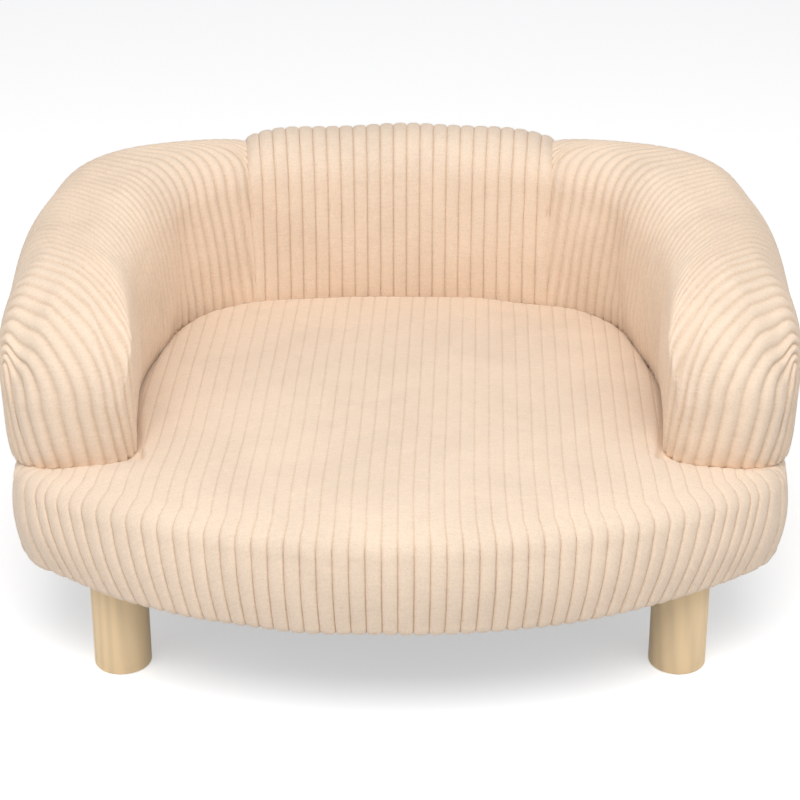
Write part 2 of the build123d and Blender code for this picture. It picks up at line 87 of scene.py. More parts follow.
def sweep(centre, start, end, step=1.0):
    """Points along a circle from one of its points to another, the short way."""
    first, second = start - centre, end - centre
    begin = math.atan2(first[1], first[0])
    turn = math.remainder(math.atan2(second[1], second[0]) - begin, math.tau)
    radius = np.linalg.norm(first)
    count = max(int(abs(turn) * radius / step), 2)
    angles = begin + turn * np.linspace(0, 1, count)
    return centre + radius * np.stack([np.cos(angles), np.sin(angles)], 1)


class Track:
    """A line in plan that is read by the distance along it."""

    def __init__(self, runs):
        points = np.concatenate(runs)
        apart = np.linalg.norm(np.diff(points, axis=0), axis=1)
        keep = np.concatenate([[True], apart > 1e-6])
        self.points = points[keep]
        steps = np.linalg.norm(np.diff(self.points, axis=0), axis=1)
        self.along = np.concatenate([[0], np.cumsum(steps)])
        self.length = self.along[-1]

    def within(self, distance):
        """Points at these distances, none past the ends."""
        return np.stack([np.interp(distance, self.along, part) for part in self.points.T], -1)

    def at(self, distance):
        """Points at these distances, carried on straight past the ends."""
        distance = np.asarray(distance, float)
        before = np.minimum(distance, 0)[..., None] * self.way(np.zeros_like(distance))
        after = np.maximum(distance - self.length, 0)[..., None]
        after = after * self.way(np.full_like(distance, self.length))
        return self.within(distance) + before + after

    def way(self, distance):
        """Unit direction of travel at these distances."""
        reach = 2.0
        centre = np.clip(distance, 0, self.length)
        low = np.maximum(centre - reach, 0)
        high = np.minimum(centre + reach, self.length)
        way = self.within(high) - self.within(low)
        return way / np.linalg.norm(way, axis=-1, keepdims=True)

    def left(self, distance):
        """Unit direction to the left of travel."""
        way = self.way(distance)
        return np.stack([-way[..., 1], way[..., 0]], -1)

    def distance_from(self, spots):
        """How far points in plan are from the line."""
        flat = spots.reshape(-1, 2)
        near = np.empty(len(flat))
        ways = np.diff(self.points, axis=0)
        squares = (ways**2).sum(1)
        for start in range(0, len(flat), 4000):
            part = flat[start : start + 4000]
            nearest = ((part[:, None] - self.points[None]) ** 2).sum(-1).argmin(1)
            gaps = []
            for piece in (np.maximum(nearest - 1, 0), np.minimum(nearest, len(ways) - 1)):
                reach = part - self.points[piece]
                share = np.clip((reach * ways[piece]).sum(1) / squares[piece], 0, 1)
                gaps.append(np.linalg.norm(reach - ways[piece] * share[:, None], axis=1))
            near[start : start + 4000] = np.minimum(*gaps)
        return near.reshape(spots.shape[:-1])


def spot(x, y):
    """A point in plan."""
    return np.array([x, y], float)


def bow(half_chord, rise):
    """Radius of the circle through a chord's ends that stands a rise above its middle."""
    return (half_chord**2 + rise**2) / (2 * rise)


def right_half(plan):
    """Points in plan, mirrored to the right half."""
    return np.stack([np.abs(plan[..., 0]), plan[..., 1]], -1)


# The base: front, sides, back and their corner roundings
HALF_WIDTH = 293.0
FRONT_REACH = 250.0
BACK_REACH = 243.0
FRONT_RADIUS = bow(HALF_WIDTH, 115.0)
SIDE_RADIUS = bow(250.0, 44.0)
BACK_RADIUS = bow(HALF_WIDTH, 76.5)
FRONT_CENTRE = spot(0, FRONT_RADIUS - FRONT_REACH)
SIDE_CENTRE = spot(HALF_WIDTH - SIDE_RADIUS, -30)
BACK_CENTRE = spot(0, BACK_REACH - BACK_RADIUS)
OVERHANG = 7.0
FRONT_CORNER = 60.0
BACK_CORNER = 95.0
CROWN = 168.5
DOME_RADIUS = 3900.0
HEM_BOTTOM = 81.4
EDGE_ROUND = 20.0
LEG_PLACE = (210, 148)


def dome(x, y):
    """Height of the seat's crowned top."""
    return CROWN - DOME_RADIUS + np.sqrt(DOME_RADIUS**2 - x**2 - y**2)


def base_track(inset):
    """Right half of the base's outline, drawn in, from the front middle to the back middle."""
    front = FRONT_RADIUS - inset
    side = SIDE_RADIUS - inset
    back = BACK_RADIUS - inset
    first = max(FRONT_CORNER - inset, 1.0)
    second = max(BACK_CORNER - inset, 1.0)
    low = meeting(FRONT_CENTRE, front - first, SIDE_CENTRE, side - first, spot(HALF_WIDTH, -FRONT_REACH))
    high = meeting(BACK_CENTRE, back - second, SIDE_CENTRE, side - second, spot(HALF_WIDTH, BACK_REACH))
    leaves_front = on_circle(FRONT_CENTRE, front, low)
    enters_side = on_circle(SIDE_CENTRE, side, low)
    leaves_side = on_circle(SIDE_CENTRE, side, high)
    enters_back = on_circle(BACK_CENTRE, back, high)
    return Track(
        [
            sweep(FRONT_CENTRE, FRONT_CENTRE - spot(0, front), leaves_front),
            sweep(low, leaves_front, enters_side),
            sweep(SIDE_CENTRE, enters_side, leaves_side),
            sweep(high, leaves_side, enters_back),
            sweep(BACK_CENTRE, enters_back, BACK_CENTRE + spot(0, back)),
        ]
    )


# The wall: its inner lines, the arm's front and the seam
INNER_HALF_WIDTH = 203.0
INNER_BACK_REACH = 168.5
ARM_FRONT = 131
INNER_RADIUS = bow(250.0, 88.0)
INNER_CENTRE = spot(INNER_HALF_WIDTH - INNER_RADIUS, -20)
INNER_BACK_RADIUS = bow(INNER_HALF_WIDTH, 30.0)
INNER_BACK_CENTRE = spot(0, INNER_BACK_REACH - INNER_BACK_RADIUS)
INNER_CORNER = 86.0
INNER_CORNER_CENTRE = meeting(
    INNER_CENTRE,
    INNER_RADIUS - INNER_CORNER,
    INNER_BACK_CENTRE,
    INNER_BACK_RADIUS - INNER_CORNER,
    spot(101, 84),
)
ARM_FACE_RADIUS = 2000.0
ARM_FACE_CENTRE = spot(251.5, ARM_FACE_RADIUS - ARM_FRONT)
ARM_CORNER = 26.0
OUTER_CORNER = 44.0
SEAM_MIDDLE = spot(INNER_CORNER_CENTRE[0] + 28.5, 250 - 81.5 / 2)
SEAM_LEAN = math.radians(8.0)
SEAM_NORMAL = spot(math.cos(SEAM_LEAN), -math.sin(SEAM_LEAN))
SEAM_WAY = spot(math.sin(SEAM_LEAN), math.cos(SEAM_LEAN))
SEAM_LAP = 1.5
SEAM_EDGE = 0.2
WALL_FOOT = 147.5
FOOT_RISE = 34.0
FOOT_DRAW = 6.0
CREST_RADIUS = 38.0
ARM_CREST = 294.0
BACK_CREST = 300.0
FRONT_ROLL = (92.0, 110.0)


def drop(distance, height, depth):
    """How far a rounded edge has come down at a distance inside it: a quarter ellipse."""
    share = np.clip(1 - distance / depth, 0, 1)
    return height * (1 - np.sqrt(1 - share**2))


def together(*drops):
    """Several drops as one, rounded where they meet."""
    power = 3.0
    return sum(part**power for part in drops) ** (1 / power)


def eased(share):
    """A share from 0 to 1 with soft ends."""
    share = np.clip(share, 0, 1)
    return share * share * (3 - 2 * share)


def foot_draw(height):
    """How far the wall's faces are drawn in by their foot."""
    share = np.clip((WALL_FOOT + FOOT_RISE - height) / FOOT_RISE, 0, 1)
    return FOOT_DRAW * (1 - np.sqrt(1 - share**2))


# Cloth on a grid


def unit(vectors):
    """Vectors brought to a length of one."""
    return vectors / np.maximum(np.linalg.norm(vectors, axis=-1, keepdims=True), 1e-9)


def resampled(paths, columns, rows):
    """Each path of a stack laid out again in equal steps: points, wale numbers and lengths."""
    steps = np.linalg.norm(np.diff(paths, axis=1), axis=2)
    along = np.concatenate([np.zeros((len(paths), 1)), np.cumsum(steps, axis=1)], axis=1)
    out = np.empty((len(paths), rows + 1, 3))
    for index, path in enumerate(paths):
        wanted = np.linspace(0, along[index, -1], rows + 1)
        for axis in range(3):
            out[index, :, axis] = np.interp(wanted, along[index], path[:, axis])
    wale = np.repeat(columns[:, None], rows + 1, axis=1)
    return out, wale, np.linspace(0, 1, rows + 1)[None, :] * along[:, -1][:, None]


def grid_normals(points):
    """Unit normals of a grid of points, across times along."""
    return unit(np.cross(np.gradient(points, axis=0), np.gradient(points, axis=1)))


def softened(field, passes):
    """A grid of vectors, smoothed with its neighbours."""
    for _ in range(passes):
        padded = np.pad(field, ((1, 1), (1, 1), (0, 0)), mode="edge")
        field = (
            padded[1:-1, 1:-1] * 2
            + padded[:-2, 1:-1]
            + padded[2:, 1:-1]
            + padded[1:-1, :-2]
            + padded[1:-1, 2:]
        ) / 6
    return field


def wale_columns(wales, per_wale):
    """Places across a cloth in wales, closer together by the grooves."""
    even = np.arange(wales * per_wale + 1) / per_wale
    return even - 0.8 * np.sin(math.tau * even) / math.tau


def rib(wale):
    """Height of a wale over its groove, from 0 to 1: a full round crown with steep sides."""
    across = np.abs(2 * (wale - np.floor(wale)) - 1)
    return (1 - across**3.0) ** 0.5


def room(points, wale):
    """How much of its full width each wale has, from 0 to 1, where lines crowd together."""
    across = np.gradient(points, axis=0)
    along = unit(np.gradient(points, axis=1))
    across -= along * (across * along).sum(2, keepdims=True)
    width = np.linalg.norm(across, axis=2) / np.maximum(np.abs(np.gradient(wale, axis=0)), 1e-9)
    return softened(np.clip(width / 8.0, 0, 1)[..., None], 6)[..., 0]


def ripple(points, scale, seed):
    """A slow, even unrest in the cloth, from -1 to 1."""
    rng = np.random.default_rng(seed)
    total = np.zeros(points.shape[:-1])
    for _ in range(7):
        way = rng.normal(size=3)
        way /= np.linalg.norm(way)
        total += np.sin(points @ way * math.tau / (scale * rng.uniform(0.7, 1.5)) + rng.uniform(0, 6))
    return total / 7**0.5 / 1.4


def cloth_grid(bm, points, wale, length):
    """Adds a grid of cloth to a mesh, in metres, with its wales and lengths as UVs. Returns its
    vertices as a table of rows."""
    across, along = points.shape[0] - 1, points.shape[1] - 1
    made = bmesh.ops.create_grid(bm, x_segments=across, y_segments=along, size=1.0)["verts"]
    layer = bm.loops.layers.uv.get("wales") or bm.loops.layers.uv.new("wales")
    table = {}
    where = {}
    for vert in made:
        i = round((vert.co.x + 1) / 2 * across)
        j = round((vert.co.y + 1) / 2 * along)
        table[i, j] = vert
        where[vert] = (i, j)
    faces = set()
    for vert, (i, j) in where.items():
        vert.co = points[i, j] * MM
        faces.update(vert.link_faces)
    for face in faces:
        face.smooth = True
        for loop in face.loops:
            i, j = where[loop.vert]
            loop[layer].uv = (wale[i, j], length[i, j])
    return table


def finished(bm, name, material, body=CHAIR):
    """Turns a mesh under work into a piece that rides on a body."""
    mesh = bpy.data.meshes.new(name)
    bm.to_mesh(mesh)
    bm.free()
    mesh.materials.append(material)
    piece = bpy.data.objects.new(name, mesh)
    bpy.context.scene.collection.objects.link(piece)
    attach(piece, body)
    return piece


# Surfaces of the pads


def arm_lines():
    """The right arm's foot as two tracks from its front outer corner: round the outside to the
    seam, and across the front and along the inside past the seam."""
    side = SIDE_RADIUS + OVERHANG
    back = BACK_RADIUS + OVERHANG
    corner = BACK_CORNER + OVERHANG
    near = spot(HALF_WIDTH, BACK_REACH)
    back_corner = meeting(BACK_CENTRE, back - corner, SIDE_CENTRE, side - corner, near)
    outer_corner = meeting(
        ARM_FACE_CENTRE,
        ARM_FACE_RADIUS - OUTER_CORNER,
        SIDE_CENTRE,
        side - OUTER_CORNER,
        spot(300, -ARM_FRONT),
    )
    inner_corner = meeting(
        ARM_FACE_CENTRE,
        ARM_FACE_RADIUS - ARM_CORNER,
        INNER_CENTRE,
        INNER_RADIUS + ARM_CORNER,
        spot(INNER_HALF_WIDTH, -ARM_FRONT),
    )
    face_out = on_circle(ARM_FACE_CENTRE, ARM_FACE_RADIUS, outer_corner)
    side_out = on_circle(SIDE_CENTRE, side, outer_corner)
    fold = on_circle(outer_corner, OUTER_CORNER, outer_corner + spot(1, -1))
    seam_out = on_circle(BACK_CENTRE, back, SEAM_MIDDLE + SEAM_WAY * 30)
    seam_in = on_circle(INNER_CORNER_CENTRE, INNER_CORNER, SEAM_MIDDLE - SEAM_WAY * 40)
    outside = Track(
        [
            sweep(outer_corner, fold, side_out),
            sweep(SIDE_CENTRE, side_out, on_circle(SIDE_CENTRE, side, back_corner)),
            sweep(
                back_corner,
                on_circle(SIDE_CENTRE, side, back_corner),
                on_circle(BACK_CENTRE, back, back_corner),
            ),
            sweep(BACK_CENTRE, on_circle(BACK_CENTRE, back, back_corner), seam_out),
        ]
    )
    face_in = on_circle(ARM_FACE_CENTRE, ARM_FACE_RADIUS, inner_corner)
    turn_in = on_circle(inner_corner, ARM_CORNER, inner_corner + spot(-1, -1))
    side_in = on_circle(inner_corner, ARM_CORNER, INNER_CENTRE)
    front = [sweep(outer_corner, fold, face_out), sweep(ARM_FACE_CENTRE, face_out, face_in)]
    front.append(sweep(inner_corner, face_in, turn_in))
    corner_in = on_circle(INNER_CENTRE, INNER_RADIUS, INNER_CORNER_CENTRE)
    inside = [
        sweep(inner_corner, turn_in, side_in),
        sweep(INNER_CENTRE, side_in, corner_in),
        sweep(INNER_CORNER_CENTRE, corner_in, seam_in),
    ]
    return outside, Track(front), Track(inside), Track(front + inside)


def wall_paths(feet, shoulders, inward, leans, crest):
    """Stack of lines over the wall, from one foot over the crest to the other. Each pair holds the
    values at the inner and at the outer end; a lean turns the line off square, in degrees."""
    span = np.linalg.norm(shoulders[1] - shoulders[0], axis=1)[:, None] * 0.38
    handles = []
    for shoulder, square, lean in zip(shoulders, inward, leans):
        turn = np.radians(lean)[:, None]
        side = np.stack([-square[:, 1], square[:, 0]], 1)
        handles.append(shoulder + (square * np.cos(turn) + side * np.sin(turn)) * span)
    t = ((1 - np.cos(np.linspace(0, math.pi, 81))) / 2)[None, :, None]
    plan = (
        shoulders[0][:, None] * (1 - t) ** 3
        + handles[0][:, None] * 3 * t * (1 - t) ** 2
        + handles[1][:, None] * 3 * t**2 * (1 - t)
        + shoulders[1][:, None] * t**3
    )
    height = crest(plan)
    over = np.concatenate([plan, height[..., None]], axis=2)
    rise = np.linspace(0, 1, 16)[None, :, None]
    walls = []
    for base, top, square, level in zip(feet, shoulders, inward, (height[:, 0], height[:, -1])):
        low = dome(base[:, 0], base[:, 1]) - 6
        levels = low[:, None, None] + (level - low)[:, None, None] * rise
        line = base[:, None] * (1 - rise) + top[:, None] * rise
        line = line + square[:, None] * foot_draw(levels)
        walls.append(np.concatenate([line, levels], axis=2))
    return np.concatenate([walls[0][:, :-1], over, walls[1][:, ::-1][:, 1:]], axis=1)


def seam_dip(points, normals, from_seam, crest_depth, crest_width):
    """Sinks the cloth into the seam: a narrow line on the faces, a wide rounding on the crest."""
    flat = np.clip(normals[..., 2], 0, 1) ** 2
    depth = 0.3 + (crest_depth - 0.3) * flat
    width = 4 + (crest_width - 4) * flat
    return points - normals * drop(np.maximum(from_seam, 0), depth, width)[..., None]


def cut_at_seam(paths):
    """Drops the part of each line that lies beyond the seam, before its first crossing."""
    beyond = (paths[..., :2] - SEAM_MIDDLE) @ SEAM_NORMAL + SEAM_LAP
    for path, far in zip(paths, beyond):
        if far[0] >= 0:
            continue
        inside = np.nonzero(far >= 0)[0]
        first = inside[0] if len(inside) else len(far) - 1
        share = far[first] / (far[first] - far[first - 1])
        path[:first] = path[first] * (1 - share) + path[first - 1] * share
    return paths


def arm_cloth(chair):
    """The right arm's cloth: points, wale numbers and lengths along each wale."""
    outside, front, inside, along_inside = arm_lines()

    def rim(distance):
        """Points and inward ways round the arm's foot: inside from the fold up, outside below it."""
        within = (distance >= 0)[:, None]
        near, far = np.maximum(distance, 0), np.maximum(-distance, 0)
        place = np.where(within, along_inside.at(near), outside.at(far))
        square = np.where(within, -along_inside.left(near), outside.left(far))
        return place, square

    wales = 54
    k = wale_columns(wales, chair.columns_per_wale)
    reach, round_outside = along_inside.length, outside.length
    foot_in = np.interp(k, [0, 7.3, 43, 54], [0, 87, reach, reach + 98])
    foot_out = np.interp(k, [0, 6.2, 11.3, 14.3, 33.2, 54], [0, 48, 78, 101, 256, round_outside])
    lead = np.interp(
        k,
        [0, 1, 3, 4.3, 7.3, 10, 20, 33, 43, 44, 45, 46, 54],
        [-12, -12, -10, -7, -9, -12, -12, -16, -11, -12, -18, -24, -30],
    )
    top_out = np.interp(
        k,
        [0, 2, 3.6, 5.5, 7.6, 9.6, 12.6, 14.3, 33.2, 51, 54],
        [12, 20, 30, 45, 63, 81, 110, 125, 262, round_outside, round_outside + 32],
    )
    lean_in = np.interp(
        k,
        [0, 4, 5, 6, 7, 8, 9, 10, 11, 12, 14, 16, 20, 33, 43, 46],
        [58, 54, 52, 49, 33, 11, -8, -26, -44, -56, -50, -42, -30, -20, -8, 0],
    )
    lean_out = np.interp(
        k, [0, 2, 3.6, 5.5, 7.6, 9.6, 12.6, 16, 24, 33, 46], [50, 50, 48, 38, 32, 28, 24, 20, 16, 12, 4]
    )
    shape = [foot_in, foot_out, lead, top_out, lean_in, lean_out]
    kernel = np.hanning(2 * chair.columns_per_wale + 1)
    kernel /= kernel.sum()
    half = len(kernel) // 2
    shape = [
        np.convolve(np.pad(line, half, mode="reflect", reflect_type="odd"), kernel, mode="valid")
        for line in shape
    ]
    foot_in, foot_out, lead, top_out, lean_in, lean_out = shape
    feet = (rim(foot_in)[0], rim(-foot_out)[0])
    (inner, inner_way), (outer, outer_way) = rim(foot_in + lead), rim(-top_out)

    def crest(plan):
        """Height of the arm's top over plan points."""
        forward = eased((90 - plan[..., 1]) / 170)
        fall, reach = CREST_RADIUS + 32 * forward, CREST_RADIUS + 12 * forward
        outer = drop(outside.distance_from(plan), fall, reach)
        inner = drop(inside.distance_from(plan), CREST_RADIUS, CREST_RADIUS)
        roll = drop(front.distance_from(plan), *FRONT_ROLL)
        return ARM_CREST + 4 * eased((plan[..., 1] - 10) / 130) - together(outer, inner, roll)

    paths = wall_paths(feet, (inner, outer), (inner_way, outer_way), (-lean_in, lean_out), crest)
    return resampled(cut_at_seam(paths), k, chair.rows_over_wall)


def back_cloth(chair):
    """The centre pad's cloth: points, wale numbers and lengths."""
    wales = 23
    columns = wale_columns(wales, chair.columns_per_wale)
    share = columns / wales * 2 - 1
    inner_end = on_circle(INNER_BACK_CENTRE, INNER_BACK_RADIUS, SEAM_MIDDLE - SEAM_WAY * 40)
    outer_end = on_circle(BACK_CENTRE, BACK_RADIUS + OVERHANG, SEAM_MIDDLE + SEAM_WAY * 30)
    ends = []
    for centre, radius, end in (
        (INNER_BACK_CENTRE, INNER_BACK_RADIUS, inner_end),
        (BACK_CENTRE, BACK_RADIUS + OVERHANG, outer_end),
    ):
        reach = math.atan2(end[0] - centre[0], end[1] - centre[1]) + SEAM_LAP / radius
        way = np.stack([np.sin(share * reach), np.cos(share * reach)], 1)
        ends.append((centre + radius * way, way))
    (inner, inner_way), (outer, outer_way) = ends

    def crest(plan):
        """Height of the backrest's top over plan points."""
        inside = np.linalg.norm(plan - INNER_BACK_CENTRE, axis=-1) - INNER_BACK_RADIUS
        outside = BACK_RADIUS + OVERHANG - np.linalg.norm(plan - BACK_CENTRE, axis=-1)
        near = np.maximum(np.minimum(inside, outside), 0)
        return BACK_CREST + 2 - drop(near, CREST_RADIUS, CREST_RADIUS)

    square = np.zeros(len(inner))
    paths = wall_paths((inner, outer), (inner, outer), (inner_way, -outer_way), (square, square), crest)
    return resampled(paths, columns, chair.rows_over_wall)


def fascia(track, at, top, rows):
    """Lines down the base's edge, from where it leaves the seat's flat top to the hem below."""
    edge, under, hem = EDGE_ROUND, 9.0, 24.0
    swell, sag = 3.0, 1.6
    top_rows, face_rows, under_rows, hem_rows = rows
    turn = np.linspace(0, math.pi / 2, top_rows + 1)
    insets = list(edge * (1 - np.sin(turn)))
    levels = [top - edge * (1 - math.cos(angle)) for angle in turn]
    low = HEM_BOTTOM + under
    share = np.linspace(0, 1, face_rows + 1)[1:]
    for part in share:
        levels.append((top - edge) * (1 - part) + low * part)
        insets.append(-swell * math.sin(math.pi * part) ** 0.8)
    for angle in np.linspace(0, math.pi / 2, under_rows + 1)[1:]:
        levels.append(np.full_like(top, low - (under + sag) * math.sin(angle)))
        insets.append(under * (1 - math.cos(angle)))
    for part in np.linspace(0, 1, hem_rows + 1)[1:]:
        levels.append(np.full_like(top, HEM_BOTTOM - sag + (sag + 0.8) * part))
        insets.append(under + (hem - under) * part)
    lines = []
    sign = np.where(at < 0, -1.0, 1.0)
    places, leans = [0, 100, 170, 240, 300, 360, 450], [0, 0.06, 0.2, 0.36, 0.4, 0.2, 0]
    lean = np.interp(np.abs(at), places, leans)
    for inset, level in zip(insets, levels):
        fall = np.maximum(top - edge * 0.5 - level, 0)
        moved = np.abs(np.abs(at) - lean * fall)
        place = track.at(moved) + track.left(moved) * inset
        place[:, 0] *= sign
        lines.append(np.concatenate([place, level[:, None]], axis=1))
    return np.stack(lines, axis=1)


def seat_cloth(chair):
    """The seat cover's two grids: top and front in one, and the strip round the sides and back."""
    track = base_track(0)
    edge = EDGE_ROUND
    kink = base_track(edge)
    wide, pitch, skew = 26, 10.7, 0.034
    columns = wale_columns(2 * wide, chair.columns_per_wale) - wide
    rows = (8, 12, 6, 4)
    side = np.sign(columns)
    kink_x = np.interp(np.abs(columns), [0, 20, 23, 26], [0, 220, 247, 266.5]) * side - 1.5
    front_half = kink.along < 330
    at = np.interp(np.abs(kink_x), kink.points[front_half, 0], kink.along[front_half])
    at = np.interp(kink.at(at)[:, 0], *outline_by(track, edge))
    along_edge = at * np.sign(kink_x)
    where = track.at(at) + track.left(at) * edge
    where[:, 0] *= np.sign(kink_x)
    top = dome(where[:, 0], where[:, 1])
    front = fascia(track, along_edge, top, rows)
    inner = np.sqrt(np.maximum(INNER_BACK_RADIUS**2 - (columns * pitch) ** 2, 0)) + INNER_BACK_CENTRE[1]
    start_y = np.minimum(inner + 14, 236 - np.maximum(np.abs(columns * pitch) - 150, 0) * 1.2)
    part = np.linspace(0, 1, chair.rows_on_seat + 1)[None, :-1]
    y = start_y[:, None] * (1 - part) + where[:, 1][:, None] * part
    straight = columns[:, None] * pitch - 1.5 + skew * (y + 208)
    swing = np.clip((-90 - y) / np.maximum(-90 - where[:, 1], 1.0)[:, None], 0, 1) ** 1.6
    x = straight * (1 - swing) + where[:, 0][:, None] * swing
    flat = np.stack([x, y, dome(x, y)], axis=2)
    points = np.concatenate([flat, front], axis=1)
    wale = np.repeat(columns[:, None], points.shape[1], axis=1)
    first, last = at[-1], 2 * track.length - at[0]
    strips = int(round((last - first) / 11.4))
    strip_columns = wale_columns(strips, 6)
    round_base = first + strip_columns / strips * (last - first)
    turned = np.where(round_base > track.length, round_base - 2 * track.length, round_base)
    inset = track.at(np.abs(turned)) + track.left(np.abs(turned)) * edge
    inset[:, 0] *= np.where(turned < 0, -1, 1)
    side = fascia(track, turned, dome(inset[:, 0], inset[:, 1]), rows)
    inward = spot(0, 20) - inset
    tucked = inset + inward / np.linalg.norm(inward, axis=1, keepdims=True) * 26
    lead = np.concatenate([tucked, dome(tucked[:, 0], tucked[:, 1])[:, None]], axis=1)
    side = np.concatenate([lead[:, None], side], axis=1)
    strip_wale = np.repeat(strip_columns[:, None] + wide, side.shape[1], axis=1)
    return (points, wale), (side, strip_wale)


def outline_by(track, inset):
    """For the front of an outline: X of its points drawn in, and the distances along it."""
    at = np.linspace(0, 400, 800)
    x = (track.at(at) + track.left(at) * inset)[:, 0]
    rising = np.maximum.accumulate(x) + np.arange(len(x)) * 1e-9
    return rising, at


def from_wall(plan):
    """How far points on the seat are from the wall's foot, less than zero under the wall."""
    outside, front, inside, _ = arm_lines()
    back = BACK_RADIUS + OVERHANG
    back_start = on_circle(INNER_BACK_CENTRE, INNER_BACK_RADIUS, inside.points[-1])
    inner_back = sweep(INNER_BACK_CENTRE, back_start, spot(0, INNER_BACK_REACH))
    line = Track([outside.points[::-1], front.points, inside.points, inner_back])
    rear = sweep(BACK_CENTRE, outside.points[-1], BACK_CENTRE + spot(0, back))
    right = right_half(plan)
    near = np.minimum(line.distance_from(right), Track([rear]).distance_from(right))
    x, y = right[..., 0], right[..., 1]
    arm = (np.linalg.norm(right - INNER_CENTRE, axis=-1) > INNER_RADIUS) & (x > 100)
    middle = np.linalg.norm(right - INNER_BACK_CENTRE, axis=-1) > INNER_BACK_RADIUS
    corner = np.linalg.norm(right - INNER_CORNER_CENTRE, axis=-1) > INNER_CORNER
    corner &= (x > INNER_CORNER_CENTRE[0]) & (y > INNER_CORNER_CENTRE[1])
    within = np.linalg.norm(right - SIDE_CENTRE, axis=-1) < SIDE_RADIUS + OVERHANG
    within &= np.linalg.norm(right - BACK_CENTRE, axis=-1) < back
    within &= np.linalg.norm(right - ARM_FACE_CENTRE, axis=-1) < ARM_FACE_RADIUS
    out = on_circle(SIDE_CENTRE, SIDE_RADIUS + OVERHANG - OUTER_CORNER, outside.points[0])
    rounded = (x > out[0]) & (y < out[1]) & (np.linalg.norm(right - out, axis=-1) > OUTER_CORNER)
    return np.where((arm | middle | corner) & within & ~rounded, -near, near)


def lengths_of(points):
    """Distance along each line of a grid."""
    steps = np.linalg.norm(np.diff(points, axis=1), axis=2)
    return np.concatenate([np.zeros((len(points), 1)), np.cumsum(steps, axis=1)], axis=1)


# Materials


def shader(name):
    """A new material with its Principled shader, and helpers to add to it."""
    material = bpy.data.materials.new(name)
    material.use_nodes = True
    tree = material.node_tree
    return material, tree, tree.nodes["Principled BSDF"]


def plug(tree, node, values):
    """Sets a node's inputs, or links them where the value is a socket."""
    for name, value in values.items():
        if isinstance(value, bpy.types.NodeSocket):
            tree.links.new(value, node.inputs[name])
        else:
            node.inputs[name].default_value = value


def add(tree, kind, inputs=None, **properties):
    """Adds a node with its properties and inputs."""
    node = tree.nodes.new(kind)
    for name, value in properties.items():
        setattr(node, name, value)
    plug(tree, node, inputs or {})
    return node


def object_place(tree):
    """Place on the object."""
    return add(tree, "ShaderNodeTexCoord").outputs["Object"]


def ramp(tree, source, stops):
    """A colour ramp from a value."""
    node = add(tree, "ShaderNodeValToRGB", {"Fac": source})
    elements = node.color_ramp.elements
    while len(elements) < len(stops):
        elements.new(0.5)
    for element, (place, colour) in zip(elements, stops):
        element.position = place
        element.color = (*colour, 1.0)
    return node.outputs["Color"]


def noise(tree, vector, scale, detail=3.0, roughness=0.5, distortion=0.0):
    """Noise from 0 to 1."""
    inputs = {"Vector": vector, "Scale": scale, "Detail": detail}
    inputs.update({"Roughness": roughness, "Distortion": distortion})
    return add(tree, "ShaderNodeTexNoise", inputs).outputs["Fac"]


def laid(tree, vector, scale=(1.0, 1.0, 1.0), rotation=(0.0, 0.0, 0.0)):
    """A vector scaled along its axes and turned."""
    inputs = {"Vector": vector, "Scale": scale, "Rotation": rotation}
    return add(tree, "ShaderNodeMapping", inputs).outputs["Vector"]


def maths(tree, operation, *values):
    """An operation on values and sockets."""
    return add(tree, "ShaderNodeMath", dict(enumerate(values)), operation=operation).outputs["Value"]


def mixed(tree, share, first, second, blend="MIX"):
    """Two colours mixed by a share, each a colour or a socket."""
    first, second = ((*value, 1.0) if isinstance(value, tuple) else value for value in (first, second))
    inputs = {0: share, 6: first, 7: second}
    return add(tree, "ShaderNodeMix", inputs, data_type="RGBA", blend_type=blend).outputs[2]


def bump(tree, height, strength, distance, before=None):
    """A normal from a height, on top of another one."""
    inputs = {"Height": height, "Strength": strength, "Distance": distance}
    if before is not None:
        inputs["Normal"] = before
    return add(tree, "ShaderNodeBump", inputs).outputs["Normal"]


def group_of(name, inputs, outputs):
    """A new node group with named sockets: its tree, what it is given, and its result node."""
    tree = bpy.data.node_groups.new(name, "ShaderNodeTree")
    for label, value in inputs:
        kind = "NodeSocketVector" if value is None else "NodeSocketFloat"
        socket = tree.interface.new_socket(label, in_out="INPUT", socket_type=kind)
        if value is not None:
            socket.default_value = value
    for label in outputs:
        tree.interface.new_socket(label, in_out="OUTPUT", socket_type="NodeSocketFloat")
    return tree, tree.nodes.new("NodeGroupInput").outputs, tree.nodes.new("NodeGroupOutput")


def grain_group():
    """Grain of sawn or turned wood: growth bands, fibres and small knots, as one value and a height."""
    inputs = [("Vector", None), ("Band scale", 34.0), ("Band unrest", 9.0), ("Fibre scale", 240.0)]
    tree, given, result = group_of("wood grain", [*inputs, ("Knots", 1.0)], ("Tone", "Knot", "Height"))
    place = given["Vector"]
    bands = {
        "Vector": laid(tree, place, (1.0, 1.0, 0.22), (0.1, 0.14, 0.6)),
        "Scale": given["Band scale"],
        "Distortion": given["Band unrest"],
        "Detail": 2.0,
        "Detail Scale": 0.4,
    }
    wave = add(tree, "ShaderNodeTexWave", bands, wave_profile="SIN")
    fine = noise(tree, laid(tree, place, (1.0, 1.0, 0.05)), given["Fibre scale"], 4.0)
    spots = {"Vector": laid(tree, place, (1.0, 1.0, 0.6)), "Scale": 17.0}
    cells = add(tree, "ShaderNodeTexVoronoi", spots)
    knot = ramp(tree, cells.outputs["Distance"], [(0.035, (1, 1, 1)), (0.1, (0, 0, 0))])
    tone = maths(tree, "MULTIPLY", fine, 0.55)
    tone = maths(tree, "MULTIPLY_ADD", wave.outputs["Fac"], 0.45, tone)
    knot = maths(tree, "MULTIPLY", knot, given["Knots"])
    plug(tree, result, {"Tone": tone, "Knot": knot, "Height": fine})
    return tree


